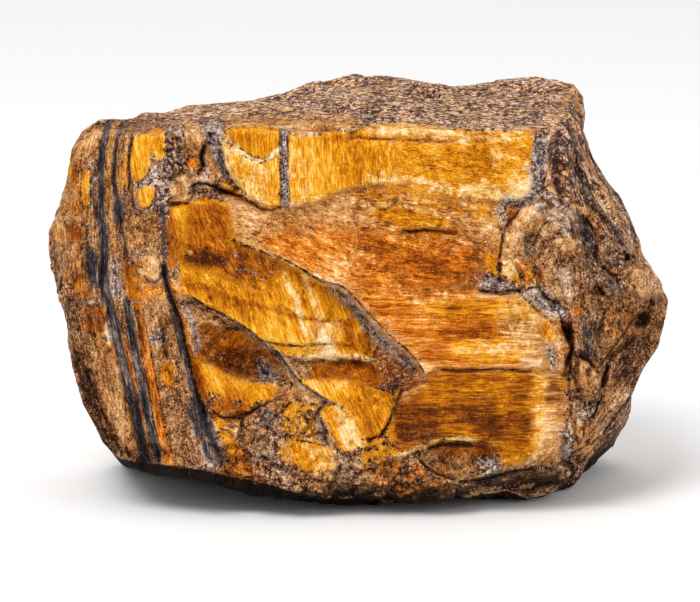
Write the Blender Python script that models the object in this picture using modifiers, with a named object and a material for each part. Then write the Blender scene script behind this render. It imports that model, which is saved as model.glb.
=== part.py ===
"""Rough tiger's eye: one broken lump of banded quartz, as one closed solid.

The lump is 80 mm long. Its long side lies along X, its broken face looks along -Y, and it
stands on a small flat at Z = 0, with the origin under its middle. It is made the way the
stone was: a block is split along flat fracture planes and trimmed to its outline, ledges,
cracks and shell-shaped hollows are struck from it, and its skin is left rough.
"""

import math

import bmesh
import bpy
import numpy as np
from mathutils import Matrix, Vector, noise

NODE = "stone"
COLLECTION = "rough_tigers_eye"
MM = 0.001

# Driving sizes, in mm.
LENGTH, DEPTH, HEIGHT = 80.0, 48.0, 52.0
BLOCK_SPARE = 1.1  # how much larger the block is that the lump is split from
SKIN_VOXEL = 0.65
MOST_TRIANGLES = 8600

# The broken face is drawn on a sheet, as it looks from a point in front of it and a little
# above. A place on the sheet is (right, down) in squares. The lump is 619 of them long, so
# a square is 0.13 mm.
SHEET_SQUARE = LENGTH / 619
SHEET_MIDDLE = (350.0, 301.0)
SHEET_TARGET = Vector((-1.1, 0.0, 24.1))
EYE_DISTANCE = 452.3
EYE_ABOVE = math.radians(10)

# Fracture planes: a point on the plane and the way that it faces, in mm. What is outside goes.
SPLITS = {
    "front": ((0, -20.5, 24), (0.02, -1, 0.02)),
    "front_left": ((-27, -20.0, 24), (-0.52, -0.85, 0.02)),
    "left": ((-38.8, -8, 28), (-0.93, -0.36, 0.0)),
    "left_shoulder": ((-38.5, -2, 38), (-0.95, -0.12, 0.27)),
    "left_top": ((-35.2, 0, 47.6), (-0.64, -0.10, 0.75)),
    "left_heel": ((-32.9, 0, 5.3), (-0.82, -0.12, -0.57)),
    "under_left": ((-27.7, -3, 1.8), (-0.30, -0.16, -0.94)),
    "under_front_left": ((-20, -17.0, 4.2), (-0.22, -0.66, -0.72)),
    "under_front": ((2, -17.4, 1.7), (0.0, -0.62, -0.78)),
    "under_front_right": ((19, -17.0, 4.4), (0.26, -0.62, -0.74)),
    "under_right": ((30, 0, 0.6), (0.60, -0.10, -0.79)),
    "right_lower": ((37, -3, 14.5), (0.80, -0.25, -0.54)),
    "right_front": ((27, -20.0, 24), (0.70, -0.71, 0.06)),
    "right_flank": ((34.8, 0, 35.4), (0.88, -0.14, 0.43)),
    "right_back": ((38, 3.5, 22), (0.80, 0.58, 0.10)),
    "back": ((2, 20.3, 25), (0.06, 1.0, 0.03)),
    "back_top": ((0, 20.5, 50), (-0.05, 0.86, 0.50)),
    "back_left": ((-18, 12, 47), (-0.60, 0.78, 0.17)),
    "back_heel": ((0, 19.5, 8), (0.05, 0.78, -0.62)),
    "left_back": ((-38.5, 5, 28), (-0.87, 0.49, 0.0)),
    "top": ((10, 0, 50.2), (0.0, -0.07, 1.0)),
    "top_left": ((-20, 0, 49.2), (-0.08, -0.03, 1.0)),
}

# The lump's outline on the sheet, clockwise from its upper left corner.
OUTLINE = (
    (73, 150), (83, 133), (99, 121), (130, 119), (144, 112), (176, 108), (226, 104), (253, 101),
    (278, 92), (303, 83), (327, 76), (347, 74), (396, 78), (428, 84), (453, 86), (488, 82),
    (537, 78), (560, 82), (573, 85), (582, 97), (583, 112), (581, 129), (591, 158), (608, 185),
    (619, 197), (630, 221), (645, 259), (661, 283), (668, 301), (664, 325), (656, 347),
    (640, 372), (630, 397), (629, 416), (616, 437), (605, 462), (591, 477), (562, 489),
    (535, 498), (499, 501), (455, 498), (398, 504), (347, 505), (308, 500), (251, 494),
    (229, 487), (185, 476), (150, 472), (121, 462), (104, 441), (86, 406), (73, 367),
    (66, 331), (53, 292), (49, 232), (60, 205), (69, 176),
)

# Ledges: the edge, drawn on the sheet with the lower side on its right hand, then the drop
# in mm and how far from the edge the floor climbs back, in squares.
LEDGES = {
    "upper_slab": (
        ((284, 205), (325, 198), (350, 187), (390, 176), (450, 189), (512, 200)), 1.6, 45,
    ),
    "middle": (
        ((230, 240), (275, 260), (312, 275), (352, 290), (375, 320), (402, 345), (422, 370)),
        3.0, 75,
    ),
    "lower": (
        ((175, 290), (200, 303), (235, 321), (262, 341), (285, 362), (315, 392), (340, 404)),
        2.4, 70,
    ),
    "shelf": (((262, 341), (300, 347), (345, 345), (372, 358)), 1.0, 40),
    "right_lip": (((568, 462), (590, 440), (612, 410), (640, 385)), 2.0, 60),
}
LEDGE_WALL = 6  # squares, the width of the steep part
LEDGE_FADE = 60  # squares, over which a ledge dies out past its ends

# Cracks: the depth in mm, the half width in squares, and the line on the sheet.
CRACKS = {
    "slab_end": (1.5, 5, ((284, 130), (284, 165), (286, 206))),
    "upper_left": (1.8, 9, ((205, 122), (213, 150), (222, 172), (235, 185))),
    "block_foot": (1.4, 6, ((170, 203), (195, 192), (225, 193), (262, 208))),
    "lump_side": (1.2, 5, ((184, 125), (181, 150), (178, 176), (186, 203))),
    "lower_left": (1.0, 6, ((165, 270), (175, 310), (190, 365), (202, 410), (222, 460))),
    "left_crease": (0.9, 6, ((72, 357), (85, 380), (100, 410), (110, 440))),
    "right_seam": (1.4, 8, ((540, 132), (543, 165), (538, 195), (516, 206), (508, 230))),
    "knob_side": (1.4, 6, ((545, 222), (535, 245), (540, 285), (566, 322), (570, 365))),
    "flank_notch": (1.8, 8, ((560, 198), (586, 222), (594, 258))),
}

# Lumps and hollows of the face: the height in mm, which is below zero for a hollow, then
# the middle and the two radii on the sheet.
SWELLS = {
    "round_lump": (1.6, (194, 140), (14, 22)),
    "half_moon": (0.8, (256, 142), (26, 14)),
    "left_block": (0.9, (183, 188), (11, 13)),
    "right_knob": (1.8, (556, 248), (17, 26)),
    "tan_knob": (1.5, (511, 257), (11, 28)),
    "low_knob": (1.4, (590, 378), (16, 24)),
    "grey_pit": (-1.2, (546, 303), (20, 12)),
    "flank_saddle": (-2.6, (588, 165), (20, 42)),
    "flank_hollow": (-2.0, (592, 246), (13, 22)),
    "side_hollow": (-2.2, (641, 321), (13, 10)),
    "bowl": (-2.2, (460, 462), (44, 20)),
    "lip_hollow": (-2.6, (532, 480), (32, 13)),
    "recess": (-1.6, (255, 365), (48, 22)),
    "foot_scoop": (-1.4, (235, 468), (22, 16)),
    "top_dip": (-1.6, (452, 100), (44, 18)),
}

# Scars on the sides and the back: depth, middle and radius, in mm.
SCARS = {
    "back_shell": (3.2, (-8, 21, 30), 15),
    "back_chip": (2.4, (18, 21, 12), 10),
    "back_notch": (2.0, (24, 19, 40), 8),
    "left_shell": (2.2, (-38, 8, 20), 11),
    "left_chip": (1.4, (-39, -4, 40), 6),
    "right_shell": (2.0, (34, 10, 14), 9),
    "top_chip": (1.2, (-6, 12, 52), 9),
    "top_step": (0.9, (18, 8, 51), 10),
}

# Skin: the size and the height, in mm, of its broad lumps, its tilted facets and its chips.
LUMP_SIZE, LUMP_HEIGHT = 16.0, 1.0
FACET_SIZE, FACET_HEIGHT = 8.5, 2.6
FACET_WANDER = 0.35  # how far the facets' borders stray, as a share of their size
CHIP_SIZE, CHIP_HEIGHT = 3.6, 0.45
# How much of that roughness the broken face and the weathered top keep.
FACE_CALM = 0.3
TOP_CALM = 0.5
SEED = 3


def clear_scene():
    for old in list(bpy.data.objects):
        bpy.data.objects.remove(old, do_unlink=True)


def new_collection(name):
    made = bpy.data.collections.new(name)
    bpy.context.scene.collection.children.link(made)
    return made


def new_object(name, mesh, collection):
    made = bpy.data.objects.new(name, mesh)
    collection.objects.link(made)
    return made


def sheet_axes():
    """The sheet's right, up and away from the eye."""
    away = Vector((0, math.cos(EYE_ABOVE), -math.sin(EYE_ABOVE)))
    right = Vector((1, 0, 0))
    return right, right.cross(away), away


def from_sheet(place, distance):
    """The point in mm that shows at this place on the sheet, this far from the eye."""
    right, up, away = sheet_axes()
    reach = SHEET_SQUARE * distance / EYE_DISTANCE
    across = right * (place[0] - SHEET_MIDDLE[0]) * reach
    height = up * (SHEET_MIDDLE[1] - place[1]) * reach
    return SHEET_TARGET + away * (distance - EYE_DISTANCE) + across + height


def to_sheet(points):
    """The places on the sheet of an array of points in mm."""
    right, up, away = (np.array(axis) for axis in sheet_axes())
    from_target = points - np.array(SHEET_TARGET)
    scale = EYE_DISTANCE / SHEET_SQUARE / (from_target @ away + EYE_DISTANCE)
    across = SHEET_MIDDLE[0] + (from_target @ right) * scale
    down = SHEET_MIDDLE[1] - (from_target @ up) * scale
    return np.stack([across, down], axis=1)


def helper_object(name, shape, collection):
    """An object for a shape that only cuts or is cut, so no render shows it."""
    bmesh.ops.recalc_face_normals(shape, faces=shape.faces)
    mesh = bpy.data.meshes.new(name)
    shape.to_mesh(mesh)
    shape.free()
    made = new_object(name, mesh, collection)
    made.hide_render = True
    made.display_type = "WIRE"
    return made


def split_block(collection):
    """The block, split along every fracture plane. It is worked on in mm."""
    shape = bmesh.new()
    bmesh.ops.create_cube(shape, size=1)
    size = Vector((LENGTH, DEPTH, HEIGHT)) * BLOCK_SPARE
    bmesh.ops.scale(shape, vec=size, verts=shape.verts)
    bmesh.ops.translate(shape, vec=(0, 0, HEIGHT / 2), verts=shape.verts)
    for place, facing in SPLITS.values():
        everything = shape.verts[:] + shape.edges[:] + shape.faces[:]
        cut = bmesh.ops.bisect_plane(
            shape, geom=everything, plane_co=place, plane_no=facing, clear_outer=True
        )
        rim = [piece for piece in cut["geom_cut"] if isinstance(piece, bmesh.types.BMEdge)]
        if rim:
            bmesh.ops.contextual_create(shape, geom=rim)
    return helper_object("split_block", shape, collection)


def outline_cutter(collection):
    """The outline drawn out along the lines of sight, from before the block to behind it."""
    shape = bmesh.new()
    near = [shape.verts.new(from_sheet(place, EYE_DISTANCE - DEPTH)) for place in OUTLINE]
    front = shape.faces.new(near)
    made = bmesh.ops.extrude_face_region(shape, geom=[front])
    far = [piece for piece in made["geom"] if isinstance(piece, bmesh.types.BMVert)]
    eye = from_sheet(SHEET_MIDDLE, 0)
    stretch = (EYE_DISTANCE + DEPTH) / (EYE_DISTANCE - DEPTH)
    for corner in far:
        corner.co = eye + (corner.co - eye) * stretch
    return helper_object("outline_cutter", shape, collection)


def floor_cutter(collection):
    """A slab whose top is the plane that the lump stands on."""
    shape = bmesh.new()
    bmesh.ops.create_cube(shape, size=1)
    bmesh.ops.scale(shape, vec=(2 * LENGTH * MM, 2 * DEPTH * MM, HEIGHT * MM), verts=shape.verts)
    bmesh.ops.translate(shape, vec=(0, 0, -HEIGHT * MM / 2), verts=shape.verts)
    return helper_object("floor_cutter", shape, collection)


def broken_block(collection):
    """The mesh of the split block, trimmed to the outline and evenly divided."""
    block = split_block(collection)
    cutter = outline_cutter(collection)
    add_modifier(block, "BOOLEAN", "outline", operation="INTERSECT", object=cutter)
    add_modifier(block, "REMESH", "skin", mode="VOXEL", voxel_size=SKIN_VOXEL)
    graph = bpy.context.evaluated_depsgraph_get()
    mesh = bpy.data.meshes.new_from_object(block.evaluated_get(graph), depsgraph=graph)
    for used_up in (block, cutter):
        bpy.data.objects.remove(used_up, do_unlink=True)
    return mesh


def line_distance(places, line):
    """How far each place is from a drawn line, and how far to the right of it, in squares."""
    best = np.full(len(places), np.inf)
    side = np.zeros(len(places))
    for start, end in zip(np.array(line[:-1], float), np.array(line[1:], float)):
        run = end - start
        along = np.clip((places - start) @ run / (run @ run), 0, 1)
        gap = places - (start + along[:, None] * run)
        distance = np.hypot(gap[:, 0], gap[:, 1])
        nearer = distance < best
        turn = run[0] * gap[:, 1] - run[1] * gap[:, 0]
        best[nearer] = distance[nearer]
        side[nearer] = np.sign(turn[nearer])
    return best, best * side


def end_fade(places, line):
    """1 beside a drawn line, and down to 0 past its two ends."""
    fade = np.ones(len(places))
    for end, neighbour in ((line[0], line[1]), (line[-1], line[-2])):
        outward = np.subtract(end, neighbour) / math.dist(end, neighbour)
        fade *= 1 - smooth_step(0, LEDGE_FADE, (places - end) @ outward)
    return fade


def smooth_step(low, high, values):
    share = np.clip((values - low) / (high - low), 0, 1)
    return share * share * (3 - 2 * share)


def hold_outline(points):
    """Draws in what the rough skin pushed out past the outline."""
    right, up, _ = (np.array(axis) for axis in sheet_axes())
    places = to_sheet(points)
    distance, outside = line_distance(places, OUTLINE + OUTLINE[:1])
    middle = np.mean(OUTLINE, axis=0)
    inward = middle - places
    inward /= np.hypot(inward[:, 0], inward[:, 1])[:, None]
    pull = np.where(outside < 0, distance, 0)[:, None] * inward * SHEET_SQUARE
    points += pull[:, :1] * right - pull[:, 1:] * up


def relief(places):
    """The height in mm that the ledges, cracks and swells give each place on the sheet."""
    height = np.zeros(len(places))
    for line, drop, climb in LEDGES.values():
        distance, below = line_distance(places, line)
        wall = smooth_step(-LEDGE_WALL / 3, LEDGE_WALL * 2 / 3, below)
        floor = wall * np.exp(-((distance / climb) ** 2))
        height -= drop * floor * end_fade(places, line)
    for depth, half_width, line in CRACKS.values():
        distance, _ = line_distance(places, line)
        height -= depth * np.exp(-((distance / half_width) ** 2))
    for rise, middle, radii in SWELLS.values():
        away = np.hypot(*((places - middle) / radii).T)
        height += rise * (1 - smooth_step(0.35, 1.15, away))
    return height


def skin_height(point):
    """The height in mm of the rough skin at a point: broad lumps, tilted facets and chips."""
    broad = noise.fractal(point / LUMP_SIZE, 0.9, 2.1, 2)
    place = point / FACET_SIZE + noise.noise_vector(point / FACET_SIZE) * FACET_WANDER
    cell = noise.voronoi(place)[1][0]
    tilt = noise.noise_vector(cell * LUMP_SIZE)
    facet = tilt.dot(place - cell)
    chips = noise.fractal(point / CHIP_SIZE, 1.0, 2.0, 2)
    return LUMP_HEIGHT * broad + FACET_HEIGHT * facet + CHIP_HEIGHT * chips


def scar_depth(points):
    """How deep the scars are at each point, in mm."""
    depth = np.zeros(len(points))
    for deep, middle, radius in SCARS.values():
        away = np.linalg.norm(points - middle, axis=1) / radius
        depth += deep * (1 - smooth_step(0.3, 1.0, away))
    return depth


def roughen(mesh):
    """Strikes the relief into the face and gives every side its rough skin."""
    flat = np.empty(len(mesh.vertices) * 3)
    mesh.vertices.foreach_get("co", flat)
    points = flat.reshape(-1, 3).copy()
    mesh.vertices.foreach_get("normal", flat)
    normals = flat.reshape(-1, 3).copy()
    towards_eye = -np.array(sheet_axes()[2])
    facing = normals @ towards_eye
    seen = smooth_step(0.05, 0.35, facing)
    calm = 1 - (1 - FACE_CALM) * smooth_step(0.7, 0.95, facing)
    calm *= 1 - (1 - TOP_CALM) * smooth_step(0.8, 0.95, normals[:, 2])
    skin = np.array([skin_height(Vector(point)) for point in points])
    skin -= scar_depth(points)
    points += normals * (skin * calm)[:, None]
    points += np.outer(relief(to_sheet(points)) * seen, towards_eye)
    hold_outline(points)
    mesh.vertices.foreach_set("co", points.ravel())
    mesh.update()


def add_modifier(target, kind, name, **settings):
    made = target.modifiers.new(name, kind)
    for setting, value in settings.items():
        setattr(made, setting, value)
    return made


def stone_material():
    made = bpy.data.materials.new("tigers_eye_quartz")
    made.use_nodes = True
    shader = made.node_tree.nodes["Principled BSDF"]
    shader.inputs["Base Color"].default_value = (0.33, 0.16, 0.04, 1)
    shader.inputs["Roughness"].default_value = 0.45
    shader.inputs["Metallic"].default_value = 0.0
    return made


def main():
    noise.seed_set(SEED)
    clear_scene()
    parts = new_collection(COLLECTION)
    helpers = new_collection("helpers")

    mesh = broken_block(helpers)
    roughen(mesh)
    mesh.transform(Matrix.Scale(MM, 4))
    mesh.materials.append(stone_material())
    stone = new_object(NODE, mesh, parts)
    share = MOST_TRIANGLES / (2 * len(mesh.polygons))
    add_modifier(stone, "DECIMATE", "facets", ratio=share)
    floor = floor_cutter(helpers)
    add_modifier(stone, "BOOLEAN", "flat_foot", operation="DIFFERENCE", object=floor)


main()
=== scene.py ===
# %% [markdown]
# # A rough lump of tiger's eye
# This lesson dresses one stone. Tiger's eye is quartz that grew through bands of fibrous
# mineral, so a broken face shows silky gold fibre between dark seams of iron oxide, and the
# old outside is a dull brown crust. The CAD frame already holds the lump at its true size.
# Here the same lump is broken from a block again, much finer, and then given its finish.

# %% Load the frame
import math

import bpy
import numpy as np
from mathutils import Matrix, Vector, noise


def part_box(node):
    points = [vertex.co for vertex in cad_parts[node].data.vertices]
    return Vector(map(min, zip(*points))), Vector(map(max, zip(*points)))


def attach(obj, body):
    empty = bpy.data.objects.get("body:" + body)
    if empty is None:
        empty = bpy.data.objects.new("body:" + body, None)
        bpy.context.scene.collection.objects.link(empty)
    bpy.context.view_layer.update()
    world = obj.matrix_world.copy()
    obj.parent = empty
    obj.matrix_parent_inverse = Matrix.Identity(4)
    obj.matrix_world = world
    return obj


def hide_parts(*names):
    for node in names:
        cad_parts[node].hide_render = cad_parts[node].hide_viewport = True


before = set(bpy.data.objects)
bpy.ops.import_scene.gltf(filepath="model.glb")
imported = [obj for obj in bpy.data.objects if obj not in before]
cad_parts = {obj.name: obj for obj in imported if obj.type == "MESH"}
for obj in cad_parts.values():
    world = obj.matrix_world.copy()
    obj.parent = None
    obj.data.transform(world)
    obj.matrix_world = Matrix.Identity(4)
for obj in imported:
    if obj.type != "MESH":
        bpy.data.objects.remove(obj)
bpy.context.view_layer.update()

MM = 0.001
NODE = "stone"
LENGTH, DEPTH, HEIGHT = 80.0, 48.0, 52.0  # mm, the block's own measures in the CAD
NOISE_SEED = 3
noise.seed_set(NOISE_SEED)

low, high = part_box(NODE)
print("CAD stone, mm:", [round((b - a) / MM, 1) for a, b in zip(low, high)])

# %% [markdown]
# ## A drawing of the broken face
# Most of what the eye reads on this stone lies on one broken face. It is easiest to place by
# drawing it, so the face has a sheet: the view from one fixed point in front of the stone and
# a little above it. A place on the sheet is (right, down) in squares of 0.13 mm. The camera
# stands at that same point.

# %% The sheet and the camera
SHEET_SQUARE = LENGTH / 619
SHEET_MIDDLE = (350.0, 301.0)
SHEET_WIDTH = 700
SHEET_TARGET = Vector((-1.1, 0.0, 24.1))
EYE_DISTANCE = 452.3
EYE_ABOVE = math.radians(10)
SENSOR = 36.0

AWAY = Vector((0, math.cos(EYE_ABOVE), -math.sin(EYE_ABOVE)))
RIGHT = Vector((1, 0, 0))
UP = RIGHT.cross(AWAY)


def from_sheet(place, distance):
    """The point in mm that shows at this place on the sheet, this far from the eye."""
    reach = SHEET_SQUARE * distance / EYE_DISTANCE
    across = RIGHT * (place[0] - SHEET_MIDDLE[0]) * reach
    height = UP * (SHEET_MIDDLE[1] - place[1]) * reach
    return SHEET_TARGET + AWAY * (distance - EYE_DISTANCE) + across + height


def to_sheet(points):
    """The places on the sheet of an array of points in mm."""
    away, right, up = (np.array(axis) for axis in (AWAY, RIGHT, UP))
    from_target = points - np.array(SHEET_TARGET)
    scale = EYE_DISTANCE / SHEET_SQUARE / (from_target @ away + EYE_DISTANCE)
    across = SHEET_MIDDLE[0] + (from_target @ right) * scale
    down = SHEET_MIDDLE[1] - (from_target @ up) * scale
    return np.stack([across, down], axis=1)


EYE = from_sheet(SHEET_MIDDLE, 0)
eye_data = bpy.data.cameras.new("camera")
eye_data.sensor_width = SENSOR
eye_data.lens = SENSOR * EYE_DISTANCE / (SHEET_WIDTH * SHEET_SQUARE)
eye_data.clip_start, eye_data.clip_end = 0.01, 20
camera = bpy.data.objects.new("camera", eye_data)
bpy.context.scene.collection.objects.link(camera)
camera.location = EYE * MM
camera.rotation_mode = "QUATERNION"
camera.rotation_quaternion = AWAY.to_track_quat("-Z", "Y")
bpy.context.scene.camera = camera
print("camera lens, mm:", round(eye_data.lens, 1), "at", [round(c, 1) for c in EYE])

# %% [markdown]
# ## Split the block
# A quartz lump breaks along flat planes. Each plane is a point on it and the way it faces, and
# a bisect in edit mode cuts the block there, throws the outside away and fills the hole. That
# is quicker to change than a sculpt, and it leaves the crisp corners that real splits have.

# %% Fracture planes
SPLITS = {
    "front": ((0, -20.5, 24), (0.02, -1, 0.02)),
    "front_left": ((-27, -20.0, 24), (-0.52, -0.85, 0.02)),
    "left": ((-38.8, -8, 28), (-0.93, -0.36, 0.0)),
    "left_shoulder": ((-38.5, -2, 38), (-0.95, -0.12, 0.27)),
    "left_top": ((-35.2, 0, 47.6), (-0.64, -0.10, 0.75)),
    "left_heel": ((-32.9, 0, 5.3), (-0.82, -0.12, -0.57)),
    "under_left": ((-27.7, -3, 1.8), (-0.30, -0.16, -0.94)),
    "under_front_left": ((-20, -17.0, 4.2), (-0.22, -0.66, -0.72)),
    "under_front": ((2, -17.4, 1.7), (0.0, -0.62, -0.78)),
    "under_front_right": ((19, -17.0, 4.4), (0.26, -0.62, -0.74)),
    "under_right": ((30, 0, 0.6), (0.60, -0.10, -0.79)),
    "right_lower": ((37, -3, 14.5), (0.80, -0.25, -0.54)),
    "right_front": ((27, -20.0, 24), (0.70, -0.71, 0.06)),
    "right_flank": ((34.8, 0, 35.4), (0.88, -0.14, 0.43)),
    "right_back": ((38, 3.5, 22), (0.80, 0.58, 0.10)),
    "back": ((2, 20.3, 25), (0.06, 1.0, 0.03)),
    "back_top": ((0, 20.5, 50), (-0.05, 0.86, 0.50)),
    "back_left": ((-18, 12, 47), (-0.60, 0.78, 0.17)),
    "back_heel": ((0, 19.5, 8), (0.05, 0.78, -0.62)),
    "left_back": ((-38.5, 5, 28), (-0.87, 0.49, 0.0)),
    "top": ((10, 0, 50.2), (0.0, -0.07, 1.0)),
    "top_left": ((-20, 0, 49.2), (-0.08, -0.03, 1.0)),
}
BLOCK_SPARE = 1.1


def start_piece():
    """Leaves nothing selected, so that an operator acts on the new piece alone."""
    if bpy.context.mode != "OBJECT":
        bpy.ops.object.mode_set(mode="OBJECT")
    bpy.ops.object.select_all(action="DESELECT")


start_piece()
bpy.ops.mesh.primitive_cube_add(size=1, location=(0, 0, HEIGHT / 2 * MM))
stone = bpy.context.object
stone.name = "tigers_eye"
stone.scale = Vector((LENGTH, DEPTH, HEIGHT)) * BLOCK_SPARE * MM
bpy.ops.object.transform_apply(location=True, scale=True)
bpy.ops.object.mode_set(mode="EDIT")
for place, facing in SPLITS.values():
    bpy.ops.mesh.select_all(action="SELECT")
    bpy.ops.mesh.bisect(
        plane_co=Vector(place) * MM, plane_no=facing, use_fill=True, clear_outer=True
    )
bpy.ops.object.mode_set(mode="OBJECT")
print("split block:", len(stone.data.polygons), "faces")

# %% [markdown]
# ## Trim it to its outline
# Planes alone give too plain an outline. A cutter is made from a circle: its corners are put
# on the drawn outline, and it is extruded away from the eye, growing as a cone of sight does.
# What the block and the cutter share is kept.

# %% The outline and its cutter
OUTLINE = (
    (73, 150), (83, 133), (99, 121), (130, 119), (144, 112), (176, 108), (226, 104), (253, 101),
    (278, 92), (303, 83), (327, 76), (347, 74), (396, 78), (428, 84), (453, 86), (488, 82),
    (537, 78), (560, 82), (573, 85), (582, 97), (583, 112), (581, 129), (591, 158), (608, 185),
    (619, 197), (630, 221), (645, 259), (661, 283), (668, 301), (664, 325), (656, 347),
    (640, 372), (630, 397), (629, 416), (616, 437), (605, 462), (591, 477), (562, 489),
    (535, 498), (499, 501), (455, 498), (398, 504), (347, 505), (308, 500), (251, 494),
    (229, 487), (185, 476), (150, 472), (121, 462), (104, 441), (86, 406), (73, 367),
    (66, 331), (53, 292), (49, 232), (60, 205), (69, 176),
)


def apply_modifier(piece, kind, **settings):
    """Adds one modifier with its settings to the active piece and applies it."""
    made = piece.modifiers.new(kind.lower(), kind)
    for name, value in settings.items():
        setattr(made, name, value)
    bpy.context.view_layer.objects.active = piece
    bpy.ops.object.modifier_apply(modifier=made.name)


start_piece()
bpy.ops.mesh.primitive_circle_add(vertices=len(OUTLINE), radius=0.04, fill_type="NGON")
cutter = bpy.context.object
cutter.name = "outline_cutter"
near = EYE_DISTANCE - DEPTH
for corner, place in zip(cutter.data.vertices, OUTLINE):
    corner.co = from_sheet(place, near) * MM
stretch = (EYE_DISTANCE + DEPTH) / near
bpy.ops.object.mode_set(mode="EDIT")
bpy.ops.mesh.select_all(action="SELECT")
bpy.ops.mesh.extrude_region()
bpy.ops.transform.resize(value=(stretch,) * 3, center_override=EYE * MM)
bpy.ops.mesh.select_all(action="SELECT")
bpy.ops.mesh.normals_make_consistent(inside=False)
bpy.ops.object.mode_set(mode="OBJECT")

start_piece()
stone.select_set(True)
apply_modifier(stone, "BOOLEAN", operation="INTERSECT", object=cutter)
bpy.data.objects.remove(cutter, do_unlink=True)
print("trimmed block:", len(stone.data.polygons), "faces")

# %% [markdown]
# ## An even skin
# The relief that comes next moves points, so there must be points to move. A voxel remesh
# gives the block an even skin of small squares, 0.22 mm wide, which is finer than the smallest
# step that shows from arm's length.

# %% Remesh
SKIN_VOXEL = 0.22  # mm
apply_modifier(stone, "REMESH", mode="VOXEL", voxel_size=SKIN_VOXEL * MM)
print("even skin:", len(stone.data.vertices), "points")


def read_points(mesh, what="co"):
    """The points or the normals of a mesh as an array, in mm for points."""
    flat = np.empty(len(mesh.vertices) * 3)
    mesh.vertices.foreach_get(what, flat)
    return flat.reshape(-1, 3) / (MM if what == "co" else 1)


points = read_points(stone.data)
normals = read_points(stone.data, "normal")
facing_eye = normals @ -np.array(AWAY)

# %% [markdown]
# ## Read the drawing
# A few small measures turn the drawing into relief and colour: how far a place is from a
# drawn line and on which side, how deep it is inside a drawn outline, and a smooth step that
# makes a soft or a hard edge of either. Real edges are never straight, so each place first
# strays a little, by noise, before it is measured.

# %% Measures on the sheet
def noise_at(places, size, octaves=2, rough=1.0):
    """Layered noise about zero at points in mm, whose lumps are this wide in mm."""
    read = noise.fractal
    return np.array([read(place, rough, 2.0, octaves) for place in places / size])


def smooth_step(low, high, values):
    share = np.clip((values - low) / (high - low), 0, 1)
    return share * share * (3 - 2 * share)


def line_distance(places, line):
    """How far each place is from a drawn line, how far to the right of it, in squares, and the
    value there of a line whose points carry one."""
    best = np.full(len(places), np.inf)
    side, value = np.zeros(len(places)), np.zeros(len(places))
    for (x1, y1, *start_value), (x2, y2, *end_value) in zip(line[:-1], line[1:]):
        start, run = np.array((x1, y1)), np.array((x2 - x1, y2 - y1), float)
        along = np.clip((places - start) @ run / (run @ run), 0, 1)
        gap = places - (start + along[:, None] * run)
        distance = np.hypot(gap[:, 0], gap[:, 1])
        nearer = distance < best
        best[nearer] = distance[nearer]
        side[nearer] = np.sign(run[0] * gap[:, 1] - run[1] * gap[:, 0])[nearer]
        if start_value:
            here = start_value[0] + along * (end_value[0] - start_value[0])
            value[nearer] = here[nearer]
    return best, best * side, value


def area_depth(places, outline):
    """How deep inside a drawn outline each place is, in squares, and below zero outside it."""
    distance = line_distance(places, outline + outline[:1])[0]
    inside = np.zeros(len(places), bool)
    across, down = places.T
    for (x1, y1), (x2, y2) in zip(outline, outline[1:] + outline[:1]):
        if y1 == y2:
            continue
        crossing = (y1 > down) != (y2 > down)
        inside ^= crossing & (across < x1 + (x2 - x1) * (down - y1) / (y2 - y1))
    return np.where(inside, distance, -distance)


def end_fade(places, line, reach):
    """1 beside a drawn line, and down to 0 past its two ends."""
    fade = np.ones(len(places))
    for end, neighbour in ((line[0][:2], line[1][:2]), (line[-1][:2], line[-2][:2])):
        outward = np.subtract(end, neighbour) / math.dist(end, neighbour)
        fade *= 1 - smooth_step(0, reach, (places - end) @ outward)
    return fade


def near_box(places, line, reach):
    """The numbers of the places that are within reach of a line's or an outline's box."""
    least, most = np.min(line, axis=0) - reach, np.max(line, axis=0) + reach
    return np.flatnonzero(np.all((places > least) & (places < most), axis=1))


# %% [markdown]
# ## Strike the large relief
# The relief is what a hammer and a few million years left: ledges where one layer broke off
# before the next, cracks between the blocks, shell-shaped hollows, and lumps of harder stone.
# The CAD has most of them too, under the same names. Here they follow finer paths, and a few
# low ledges and cracks are added.

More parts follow.
